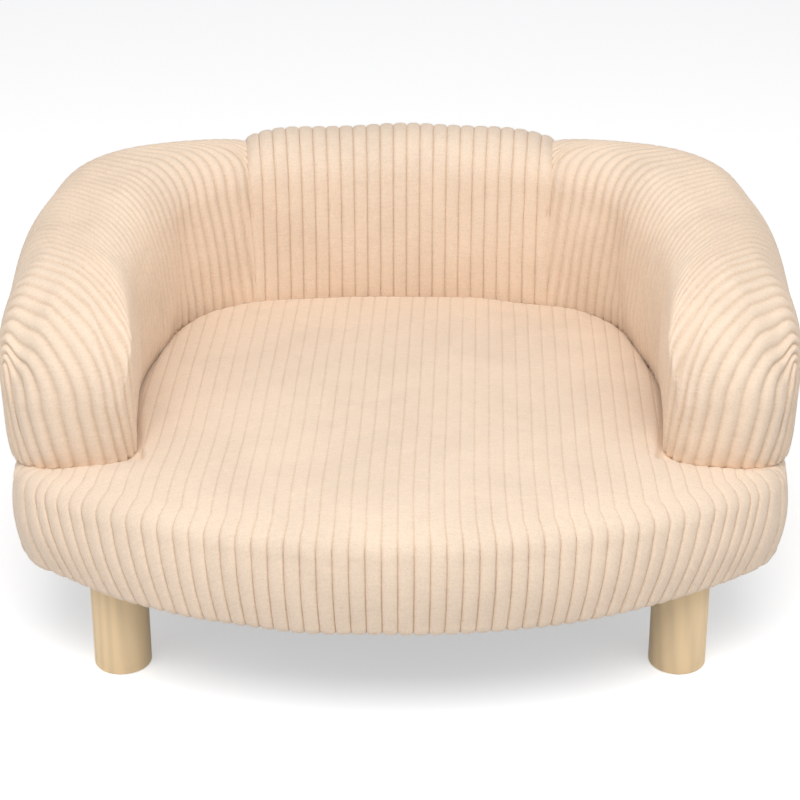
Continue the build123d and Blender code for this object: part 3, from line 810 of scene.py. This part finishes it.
def pile_group():
    """Cut pile: brushed patches, strokes along the wale and single fibres."""
    inputs = [("Place", None), ("Wale", None), ("Patch scale", 15.0), ("Fibre scale", 850.0)]
    tree, given, result = group_of("brushed pile", inputs, ("Tone", "Fibre", "Stroke"))
    patch = noise(tree, given["Place"], given["Patch scale"], 4.0, 0.6, 0.5)
    stroke = noise(tree, laid(tree, given["Wale"], (0.9, 5.0, 1.0)), 1.0, 3.0, 0.6)
    fibre = noise(tree, given["Place"], given["Fibre scale"], 2.0, 0.6)
    tone = maths(tree, "MULTIPLY_ADD", patch, 0.6, maths(tree, "MULTIPLY", stroke, 0.4))
    plug(tree, result, {"Tone": tone, "Fibre": fibre, "Stroke": stroke})
    return tree


def placed_group(tree, name, maker, values):
    """A group node in a material, built on first use, with its own values."""
    node = add(tree, "ShaderNodeGroup", node_tree=bpy.data.node_groups.get(name) or maker())
    plug(tree, node, values)
    return node.outputs


def tints(colour, *stops):
    """Ramp stops of one colour at several strengths."""
    return [(place, tuple(min(part * share, 1) for part in colour)) for place, share in stops]


def corduroy(name, look):
    """Wide-wale plush: soft wales, painted shade in the grooves, brushed patches and a fine pile."""
    material, tree, surface = shader(name)
    wales = add(tree, "ShaderNodeUVMap", uv_map="wales").outputs["UV"]
    pile = placed_group(tree, "brushed pile", pile_group, {"Place": object_place(tree), "Wale": wales})
    parts = add(tree, "ShaderNodeSeparateXYZ", {0: wales})
    across = maths(tree, "PINGPONG", parts.outputs["X"], 0.5)
    # Painted shade: a darker colour laid into each groove between the wales, strongest at the groove's middle
    groove_shade_stops = ((0.0, 0.46), (0.025, 0.36), (0.06, 0.1), (0.15, 0))
    line = ramp(tree, across, [(place, (depth,) * 3) for place, depth in groove_shade_stops])
    # The painted groove shade fades to about a third in random brushed patches of the pile
    groove_shade_fade = ramp(tree, pile["Tone"], [(0.42, (1, 1, 1)), (0.62, (0.35,) * 3)])
    groove = maths(tree, "MULTIPLY", line, groove_shade_fade)
    body = ramp(tree, pile["Tone"], tints(look.cover, (0.3, 0.92), (0.5, 1.0), (0.7, 1.07)))
    fuzz = ramp(tree, pile["Fibre"], [(0.25, (0.9, 0.89, 0.87)), (0.6, (1, 1, 1))])
    body = mixed(tree, 1.0, body, fuzz, "MULTIPLY")
    normal = bump(tree, pile["Fibre"], 0.35, 0.0006)
    finish = {
        # Base Color: the cloth's colour with the painted groove shade mixed over it
        "Base Color": mixed(tree, groove, body, tuple(look.groove)),
        "Roughness": 0.92,
        "Specular IOR Level": 0.15,
        "Sheen Weight": 0.35,
        "Sheen Roughness": 0.45,
        "Sheen Tint": (1.0, 0.95, 0.9, 1.0),
        "Normal": bump(tree, pile["Stroke"], 0.25, 0.0012, normal),
    }
    plug(tree, surface, finish)
    return material


def pine(name, look):
    """Sanded pale pine with broad growth bands and a few small knots."""
    material, tree, surface = shader(name)
    grain = placed_group(tree, "wood grain", grain_group, {"Vector": object_place(tree)})
    colour = ramp(tree, grain["Tone"], tints(look.pine, (0.25, 0.92), (0.55, 1.0), (0.85, 1.04)))
    knot = maths(tree, "MULTIPLY", grain["Knot"], 0.8)
    finish = {
        "Base Color": mixed(tree, knot, colour, (0.34, 0.17, 0.07)),
        "Roughness": maths(tree, "MULTIPLY_ADD", grain["Height"], 0.15, 0.48),
        "Coat Weight": 0.06,
        "Coat Roughness": 0.4,
        "Normal": bump(tree, grain["Height"], 0.12, 0.0003),
    }
    plug(tree, surface, finish)
    return material


def metal(name, tint, roughness):
    """Zinc-plated steel with fine scratches."""
    material, tree, surface = shader(name)
    place = object_place(tree)
    marks = noise(tree, place, 700.0, 4.0, 0.7)
    clouds = noise(tree, place, 60.0, 3.0)
    finish = {
        "Base Color": ramp(tree, clouds, [(0.3, tuple(part * 0.88 for part in tint)), (0.7, tint)]),
        "Metallic": 1.0,
        "Roughness": maths(tree, "MULTIPLY_ADD", marks, 0.18, roughness - 0.09),
        "Normal": bump(tree, marks, 0.1, 0.0002),
    }
    plug(tree, surface, finish)
    return material


def board(name, face, dark, band_scale, fibre_scale):
    """Plywood, hardboard or sawn pine: flecked or grained sheet wood."""
    material, tree, surface = shader(name)
    values = {
        "Vector": laid(tree, object_place(tree), rotation=(0.0, math.pi / 2, 0.0)),
        "Band scale": band_scale,
        "Fibre scale": fibre_scale,
        "Knots": 0.0,
    }
    grain = placed_group(tree, "wood grain", grain_group, values)
    finish = {
        "Base Color": ramp(tree, grain["Tone"], [(0.3, dark), (0.7, face)]),
        "Roughness": maths(tree, "MULTIPLY_ADD", grain["Height"], 0.2, 0.62),
        "Normal": bump(tree, grain["Height"], 0.2, 0.0005),
    }
    plug(tree, surface, finish)
    return material


def black_cloth(name, look):
    """Spun black cloth with a pressed dot pattern."""
    material, tree, surface = shader(name)
    place = object_place(tree)
    cells = add(tree, "ShaderNodeTexVoronoi", {"Vector": place, "Scale": 600.0})
    fibres = noise(tree, place, 1500.0, 3.0, 0.7)
    finish = {
        "Base Color": ramp(tree, fibres, tints(look.underside, (0.3, 0.6), (0.7, 1.6))),
        "Roughness": 0.85,
        "Normal": bump(tree, cells.outputs["Distance"], 0.3, 0.0003),
    }
    plug(tree, surface, finish)
    return material


# Settings


def length_setting(name, description, default, top):
    """Keywords of a length setting that goes from nothing to a top value."""
    sizes = {"default": default, "min": 0.0, "max": top, "subtype": "DISTANCE", "unit": "LENGTH"}
    return {"name": name, "description": description, **sizes}


def number_setting(name, description, default, low, high):
    """Keywords of a plain number's setting."""
    return {"name": name, "description": description, "default": default, "min": low, "max": high}


def colour_setting(name, description, default):
    """Keywords of a colour setting."""
    form = {"subtype": "COLOR", "size": 3, "min": 0, "max": 1}
    return {"name": name, "description": description, "default": default, **form}


class PetChairSettings(bpy.types.PropertyGroup):
    """Sizes and colours of the upholstery and legs"""

    rib_height: bpy.props.FloatProperty(
        **length_setting("Wale height", "How far a wale stands above its groove", 0.003, 0.006)
    )
    unrest: bpy.props.FloatProperty(
        **length_setting("Unrest", "How far the padding swells and sinks", 0.0012, 0.006)
    )
    slack: bpy.props.FloatProperty(
        **length_setting("Slack", "How far the padding is set in before it swells", 0.002, 0.01)
    )
    pressure: bpy.props.FloatProperty(
        **number_setting("Padding pressure", "How hard the padding presses on the cloth", 4.0, 0, 20)
    )
    columns_per_wale: bpy.props.IntProperty(
        **number_setting("Columns per wale", "Mesh columns across one wale", 10, 4, 12)
    )
    rows_over_wall: bpy.props.IntProperty(
        **number_setting("Rows over the wall", "Mesh rows over a pad", 96, 24, 200)
    )
    rows_on_seat: bpy.props.IntProperty(
        **number_setting("Rows on the seat", "Mesh rows from the backrest to the edge", 80, 24, 200)
    )
    cover: bpy.props.FloatVectorProperty(**colour_setting("Cover", "Colour of the wales", (0.86, 0.69, 0.54)))
    # The grooves' colour is painted shade: a darker tan laid between the wales
    groove: bpy.props.FloatVectorProperty(
        **colour_setting("Groove shade", "Colour between the wales", (0.64, 0.46, 0.31))
    )
    pine: bpy.props.FloatVectorProperty(**colour_setting("Pine", "Colour of the legs", (0.90, 0.67, 0.40)))
    underside: bpy.props.FloatVectorProperty(
        **colour_setting("Dust cover", "Colour of the cloth below", (0.02, 0.02, 0.022))
    )


def looks():
    """The chair's settings in this scene."""
    return bpy.context.scene.pet_chair


def material_of(name, maker, *rest):
    """A material by name, made on first use."""
    return bpy.data.materials.get(name) or maker(name, *rest)


def cloth_material():
    """The cover's material."""
    return material_of("cream corduroy", corduroy, looks())


def zinc():
    """The material of all bolts, washers, nuts and screws."""
    return material_of("zinc plated steel", metal, (0.72, 0.73, 0.75), 0.34)


def puffed(points, held, normals, outward):
    """The padding pressed outwards against the cloth: a pressure simulation of the cloth without
    its wales, read back onto its points. Held points are sewn or stapled and stay."""
    chair = looks()
    columns, rows = (
        np.unique(np.append(np.arange(0, count, step), count - 1))
        for count, step in zip(points.shape, (chair.columns_per_wale, 3))
    )
    coarse = points[columns][:, rows]
    fixed = held[columns][:, rows]
    start = coarse - normals[columns][:, rows] * np.where(fixed, 0, chair.slack / MM)[..., None]
    bm = bmesh.new()
    table = cloth_grid(bm, start, fixed * 1.0, fixed * 1.0)
    bm.verts.index_update()
    order = {key: vert.index for key, vert in table.items()}
    mesh = bpy.data.meshes.new("cloth under pressure")
    bm.to_mesh(mesh)
    bm.free()
    cloth = bpy.data.objects.new("cloth under pressure", mesh)
    scene = bpy.context.scene
    scene.collection.objects.link(cloth)
    pins = cloth.vertex_groups.new(name="sewn")
    pins.add([order[i, j] for i, j in order if fixed[i, j]], 1.0, "REPLACE")
    settings = cloth.modifiers.new("Cloth", "CLOTH").settings
    settings.quality = 6
    settings.mass = 0.3
    settings.tension_stiffness = settings.compression_stiffness = 12
    settings.shear_stiffness = 4
    settings.bending_stiffness = 0.8
    settings.vertex_group_mass = "sewn"
    settings.use_pressure = True
    settings.uniform_pressure_force = chair.pressure * outward
    settings.effector_weights.gravity = 0
    for step in range(1, 21):
        scene.frame_set(step)
    shaped = cloth.evaluated_get(bpy.context.evaluated_depsgraph_get()).to_mesh()
    moved = np.empty((len(shaped.vertices), 3))
    shaped.vertices.foreach_get("co", moved.ravel())
    swollen = np.empty_like(coarse)
    for (i, j), index in order.items():
        swollen[i, j] = moved[index] / MM
    scene.frame_set(1)
    bpy.data.objects.remove(cloth)
    lift = ((swollen - coarse) * normals[columns][:, rows]).sum(2)
    lift = softened(np.clip(lift, -0.6, 5.0)[..., None], 1)[..., 0]
    every_row = np.arange(points.shape[1])
    every_column = np.arange(points.shape[0])
    fine = np.stack([np.interp(every_row, rows, line) for line in lift])
    whole = np.stack([np.interp(every_column, columns, line) for line in fine.T], axis=1)
    return points + normals * softened(whole[..., None], 3)


def even_fold(normals):
    """Gives the two halves of a folded first line the same normals."""
    normals[0] = unit(normals[0] + normals[0, ::-1])


def dressed(points, wale, seam, outward, seed, held, full, fold=False):
    """Cloth points with the padding's unrest, the seam and the wales worked in. The wales stand
    full where the cloth is upright or bends, and are pressed down to a share where it lies flat."""
    chair = looks()
    normals = grid_normals(points)
    if outward < 0:
        normals = -normals
    if fold:
        even_fold(normals)
    normals = unit(softened(normals, 4))
    if fold:
        even_fold(normals)
    points = puffed(points, held, normals, outward)
    points = points + normals * (ripple(points, 90.0, seed) * chair.unrest / MM)[..., None]
    if seam is not None:
        points = seam_dip(points, normals, *seam)
    upright, flat = full
    pressed = eased((normals[..., 2] - 0.3) / 0.65)
    height = chair.rib_height / MM * room(points, wale) * (upright + (flat - upright) * pressed)
    points = points + normals * ((rib(wale) - 1.1) * height)[..., None]
    if fold:
        points[0] = (points[0] + points[0, ::-1]) / 2
    return points


def cap_pad(bm, table, columns, rows):
    """Closes a pad under its foot, from the inner to the outer line, and at its seams."""
    feet = []
    for j in (0, rows - 1):
        for i in range(columns - 1):
            feet.append(bm.edges.get((table[i, j], table[i + 1, j])))
    bmesh.ops.bridge_loops(bm, edges=feet)
    bmesh.ops.remove_doubles(bm, verts=bm.verts, dist=2e-5)
    rim = [edge for edge in bm.edges if edge.is_boundary]
    bmesh.ops.holes_fill(bm, edges=rim, sides=0)


# Studio: each lamp has its place, aim, size and watts, and the camera looks down by some degrees

LAMPS = (
    ("left", (-1.7, -1.2, 1.7), (0, 0, 0.15), (1.4, 1.4), 5.5),
    ("right", (1.7, -1.2, 1.7), (0, 0, 0.15), (1.4, 1.4), 4.2),
    ("top", (0.0, -0.9, 1.55), (0, 0.08, 0.2), (1.5, 1.0), 20.5),
)
WORLD_STRENGTH = 0.41
CAMERA_PLACE = (0.0, -1.602, 0.929)
CAMERA_DOWN = 26
FOCAL_PIXELS = 2255.0
PICTURE_WIDTH = 800.0
SENSOR_WIDTH = 36.0


def seen_directly(tree):
    """One for rays from the camera, in a reflection or through glass, or else zero."""
    path = add(tree, "ShaderNodeLightPath").outputs
    seen = maths(tree, "MAXIMUM", path["Is Camera Ray"], path["Is Glossy Ray"])
    return maths(tree, "MAXIMUM", seen, path["Is Transmission Ray"])


# Operators


class PETCHAIR_OT_arm_pads(bpy.types.Operator):
    """Makes the left and right arm pads in corduroy"""

    bl_idname = "petchair.arm_pads"
    bl_label = "Arm pads"

    def execute(self, context):
        points, wale, length = arm_cloth(looks())
        from_seam = (points[..., :2] - SEAM_MIDDLE) @ SEAM_NORMAL - SEAM_EDGE
        held = np.zeros(points.shape[:2], bool)
        held[:, :2] = held[:, -2:] = True
        held |= (from_seam < 1) | (wale < 2.5)
        shaped = dressed(points, wale, (from_seam, 7.0, 80.0), -1, 3, held, (0.9, 0.7), fold=True)
        for side, sign in (("left", -1), ("right", 1)):
            bm = bmesh.new()
            placed = shaped * np.array([sign, 1, 1])
            table = cloth_grid(bm, placed, wale, length * 0.1)
            cap_pad(bm, table, *placed.shape[:2])
            bmesh.ops.recalc_face_normals(bm, faces=bm.faces)
            piece = finished(bm, f"{side}_arm_pad", cloth_material())
            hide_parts(f"{side}_arm_cover", f"{side}_arm_foam", f"{side}_arm_lining")
        return {"FINISHED"}


class PETCHAIR_OT_back_pad(bpy.types.Operator):
    """Makes the centre pad of the backrest in corduroy"""

    bl_idname = "petchair.back_pad"
    bl_label = "Back pad"

    def execute(self, context):
        points, wale, length = back_cloth(looks())
        from_seam = -((right_half(points) - SEAM_MIDDLE) @ SEAM_NORMAL) - SEAM_EDGE
        held = np.zeros(points.shape[:2], bool)
        held[:, :2] = held[:, -2:] = True
        held[0] = held[-1] = True
        shaped = dressed(points, wale, (from_seam, 11.0, 42.0), 1, 5, held, (0.75, 0.9))
        bm = bmesh.new()
        table = cloth_grid(bm, shaped, wale, length * 0.1)
        cap_pad(bm, table, *shaped.shape[:2])
        bmesh.ops.recalc_face_normals(bm, faces=bm.faces)
        piece = finished(bm, "centre_back_pad", cloth_material())
        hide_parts("centre_back_cover", "centre_back_foam", "centre_back_lining")
        return {"FINISHED"}


class PETCHAIR_OT_seat(bpy.types.Operator):
    """Makes the seat cover with its wales over the front edge and round the base"""

    bl_idname = "petchair.seat"
    bl_label = "Seat"

    def execute(self, context):
        tucked_above, stapled_rise = 145, 6
        sink_depth, sink_edge, sink_reach = 7.0, 1.0, 1.6
        sink_from, sink_fade = 138, 24
        (top, wale), (side, side_wale) = seat_cloth(looks())
        bm = bmesh.new()
        for grid, number in ((top, wale), (side, side_wale)):
            held = (from_wall(grid[..., :2]) < 0) & (grid[..., 2] > tucked_above)
            held |= grid[..., 2] < HEM_BOTTOM + stapled_rise
            held[0] = held[-1] = held[:, 0] = True
            shaped = dressed(grid, number, None, -1, 9, held, (0.9, 0.3))
            near = from_wall(shaped[..., :2])
            sink = sink_depth / (1 + np.exp(np.clip((near - sink_edge) / sink_reach, -40, 40)))
            shaped[..., 2] -= sink * eased((shaped[..., 2] - sink_from) / sink_fade)
            cloth_grid(bm, shaped, number, lengths_of(shaped) * 0.1)
        bmesh.ops.remove_doubles(bm, verts=bm.verts, dist=1e-5)
        bmesh.ops.recalc_face_normals(bm, faces=bm.faces)
        piece = finished(bm, "seat_pad", cloth_material())
        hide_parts("seat_cover", "seat_foam")
        return {"FINISHED"}


class PETCHAIR_OT_legs(bpy.types.Operator):
    """Makes the four turned pine legs"""

    bl_idname = "petchair.legs"
    bl_label = "Legs"

    def execute(self, context):
        for corner in CORNERS:
            low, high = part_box(f"leg_{corner}")
            middle = (low + high) / 2
            radius = (high.x - low.x) / 2
            bm = bmesh.new()
            bmesh.ops.create_circle(bm, cap_ends=True, segments=96, radius=radius)
            bmesh.ops.translate(bm, verts=bm.verts, vec=(middle.x, middle.y, 0))
            grown = bmesh.ops.extrude_face_region(bm, geom=bm.faces[:])
            top = [item for item in grown["geom"] if isinstance(item, bmesh.types.BMVert)]
            bmesh.ops.translate(bm, verts=top, vec=(0, 0, high.z))
            level = [abs(edge.verts[0].co.z - edge.verts[1].co.z) < 1e-6 for edge in bm.edges]
            bmesh.ops.bevel(
                bm,
                geom=[edge for edge, flat in zip(bm.edges, level) if flat],
                offset=2 * MM,
                offset_type="OFFSET",
                segments=4,
                profile=0.5,
                affect="EDGES",
                material=-1,
            )
            bmesh.ops.recalc_face_normals(bm, faces=bm.faces)
            for face in bm.faces:
                face.smooth = True
            wood = material_of("pale pine", pine, looks())
            piece = finished(bm, f"turned_leg_{corner}", wood, f"leg_{corner}")
            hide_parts(f"leg_{corner}")
        return {"FINISHED"}


class PETCHAIR_OT_hanger_bolts(bpy.types.Operator):
    """Makes the threaded hanger bolts in the legs"""

    bl_idname = "petchair.hanger_bolts"
    bl_label = "Hanger bolts"

    def execute(self, context):
        pitch, depth, steps = 1.25 * MM, 0.65 * MM, 24
        for corner in CORNERS:
            low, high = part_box(f"hanger_bolt_{corner}")
            middle = (low + high) / 2
            radius = (high.x - low.x) / 2
            root = radius - depth
            turns = int((high.z - low.z - 2 * depth) / pitch) - 1
            bm = bmesh.new()
            base = low.z + depth
            points = [
                bm.verts.new((middle.x + reach, middle.y, base + share * pitch))
                for share, reach in ((0, root), (0.38, radius), (0.5, radius), (0.88, root), (1, root))
            ]
            edges = [bm.edges.new(pair) for pair in zip(points, points[1:])]
            bmesh.ops.spin(
                bm,
                geom=points + edges,
                cent=(middle.x, middle.y, 0),
                axis=(0, 0, 1),
                dvec=(0, 0, pitch / steps),
                angle=math.tau * turns,
                steps=steps * turns,
                use_merge=False,
            )
            bmesh.ops.remove_doubles(bm, verts=bm.verts, dist=2e-6)
            core = bmesh.ops.create_cone(
                bm,
                cap_ends=True,
                segments=steps,
                radius1=radius - depth * 1.02,
                radius2=radius - depth * 1.02,
                depth=high.z - low.z,
            )["verts"]
            bmesh.ops.translate(bm, verts=core, vec=middle)
            bmesh.ops.recalc_face_normals(bm, faces=bm.faces)
            piece = finished(bm, f"threaded_bolt_{corner}", zinc(), f"leg_{corner}")
            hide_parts(f"hanger_bolt_{corner}")
        return {"FINISHED"}


class PETCHAIR_OT_frame_finish(bpy.types.Operator):
    """Gives the hidden boards and the fastenings their finishes"""

    bl_idname = "petchair.frame_finish"
    bl_label = "Frame and fastenings"

    def execute(self, context):
        woods = {
            "birch plywood": ((0.72, 0.54, 0.36), (0.54, 0.37, 0.22), 9.0, 300.0),
            "brown hardboard": ((0.28, 0.17, 0.09), (0.17, 0.10, 0.05), 160.0, 900.0),
            "sawn pine": ((0.78, 0.60, 0.40), (0.62, 0.44, 0.26), 45.0, 260.0),
        }
        plywood, hardboard, sawn = (material_of(name, board, *look) for name, look in woods.items())
        finishes = {
            "staples": material_of("staple wire", metal, (0.62, 0.62, 0.63), 0.3),
            "base_board": plywood,
            "backrest_rail": plywood,
            "left_core_panel": hardboard,
            "centre_core_panel": hardboard,
            "right_core_panel": hardboard,
            "left_arm_front_board": plywood,
            "right_arm_front_board": plywood,
            "glue_blocks": sawn,
        }
        for name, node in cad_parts.items():
            node.data.materials.clear()
            node.data.materials.append(finishes.get(name) or zinc())
        return {"FINISHED"}


class PETCHAIR_OT_dust_cover(bpy.types.Operator):
    """Makes the black cloth under the base"""

    bl_idname = "petchair.dust_cover"
    bl_label = "Dust cover"

    def execute(self, context):
        rim = base_track(14.0)
        around, rings = 220, 34
        bm = bmesh.new()
        bmesh.ops.create_grid(bm, x_segments=around, y_segments=rings, size=1.0)
        area = 0.0
        top_level, lap_level, sag, leg_clear = 81.9, 80.9, 1.6, 18
        for vert in bm.verts:
            turn = (vert.co.x + 1) * rim.length
            out = (vert.co.y + 1) / 2
            folded = turn if turn <= rim.length else 2 * rim.length - turn
            edge = rim.at(folded)
            x = edge[0] * (1 if turn <= rim.length else -1)
            place = spot(x, edge[1]) * out
            lap = np.clip((out - 0.94) / 0.05, 0, 1)
            level = top_level * (1 - lap) + lap_level * lap
            wave = 0.6 + 0.4 * math.sin(place[0] * 0.03) * math.cos(place[1] * 0.035)
            slack = sag * (1 - out**6) * wave
            aside = (abs(part) - leg for part, leg in zip(place, LEG_PLACE))
            slack *= np.clip((min(math.hypot(*aside), 90.0) - leg_clear) / 60, 0, 1)
            vert.co = (place[0] * MM, place[1] * MM, (level - slack) * MM)
        bmesh.ops.remove_doubles(bm, verts=bm.verts, dist=1e-6)
        bmesh.ops.recalc_face_normals(bm, faces=bm.faces)
        for face in bm.faces:
            face.smooth = True
            area += face.calc_area()
        if sum(face.normal.z for face in bm.faces) > 0:
            bmesh.ops.reverse_faces(bm, faces=bm.faces)
        piece = finished(bm, "dust_cloth", material_of("black spun cloth", black_cloth, looks()))
        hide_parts("dust_cover")
        return {"FINISHED"}


class PETCHAIR_OT_stage(bpy.types.Operator):
    """Makes the floor, the studio light and the camera at the photograph's angle"""

    bl_idname = "petchair.stage"
    bl_label = "Stage"

    def execute(self, context):
        scene = context.scene
        bm = bmesh.new()
        bmesh.ops.create_grid(bm, x_segments=1, y_segments=1, size=12.0)
        mesh = bpy.data.meshes.new("floor")
        bm.to_mesh(mesh)
        bm.free()
        floor = bpy.data.objects.new("floor", mesh)
        scene.collection.objects.link(floor)
        material, tree, surface = shader("white floor")
        finish = {
            "Base Color": (0.8, 0.8, 0.8, 1),
            "Roughness": 0.9,
            "Specular IOR Level": 0.0,
            "Emission Color": (1, 1, 1, 1),
            "Emission Strength": maths(tree, "MULTIPLY", seen_directly(tree), 0.5),
        }
        plug(tree, surface, finish)
        mesh.materials.append(material)

        world = bpy.data.worlds.new("studio")
        scene.world = world
        world.use_nodes = True
        tree = world.node_tree
        tree.nodes.clear()
        light, white = (
            add(tree, "ShaderNodeBackground", {"Color": tint, "Strength": strength}).outputs[0]
            for tint, strength in (((0.97, 0.98, 1.0, 1), WORLD_STRENGTH), ((1, 1, 1, 1), 1.0))
        )
        mix = add(tree, "ShaderNodeMixShader", {0: seen_directly(tree), 1: light, 2: white})
        add(tree, "ShaderNodeOutputWorld", {0: mix.outputs[0]})

        for name, place, aim, size, power in LAMPS:
            data = bpy.data.lights.new(name, "AREA")
            data.shape = "RECTANGLE"
            data.size, data.size_y = size
            data.energy = power
            lamp = bpy.data.objects.new(name, data)
            scene.collection.objects.link(lamp)
            lamp.location = place
            way = np.array(aim) - np.array(place)
            lamp.rotation_euler = Vector(way).to_track_quat("-Z", "Y").to_euler()

        data = bpy.data.cameras.new("camera")
        data.sensor_width = SENSOR_WIDTH
        data.lens = FOCAL_PIXELS * SENSOR_WIDTH / PICTURE_WIDTH
        data.clip_end = 60.0
        camera = bpy.data.objects.new("camera", data)
        scene.collection.objects.link(camera)
        camera.location = CAMERA_PLACE
        camera.rotation_euler = (math.radians(90 - CAMERA_DOWN), 0, 0)
        scene.camera = camera
        scene.view_settings.view_transform = "Standard"
        return {"FINISHED"}


class PETCHAIR_PT_panel(bpy.types.Panel):
    """Pet chair tools"""

    bl_label = "Pet chair"
    bl_idname = "PETCHAIR_PT_panel"
    bl_space_type = "VIEW_3D"
    bl_region_type = "UI"
    bl_category = "Pet chair"

    def draw(self, context):
        layout = self.layout
        chair = context.scene.pet_chair
        for name in ("rib_height", "unrest", "cover", "groove", "pine", "underside"):
            layout.prop(chair, name)
        for operator in OPERATORS:
            layout.operator(operator.bl_idname)


OPERATORS = (
    PETCHAIR_OT_frame_finish,
    PETCHAIR_OT_seat,
    PETCHAIR_OT_back_pad,
    PETCHAIR_OT_arm_pads,
    PETCHAIR_OT_legs,
    PETCHAIR_OT_hanger_bolts,
    PETCHAIR_OT_dust_cover,
    PETCHAIR_OT_stage,
)
CLASSES = (PetChairSettings, *OPERATORS, PETCHAIR_PT_panel)


def register():
    for item in CLASSES:
        bpy.utils.register_class(item)
    bpy.types.Scene.pet_chair = bpy.props.PointerProperty(type=PetChairSettings)


def unregister():
    del bpy.types.Scene.pet_chair
    for item in reversed(CLASSES):
        bpy.utils.unregister_class(item)


def main():
    register()
    for operator in OPERATORS:
        group, name = operator.bl_idname.split(".")
        getattr(getattr(bpy.ops, group), name)()


if __name__ == "__main__":
    main()
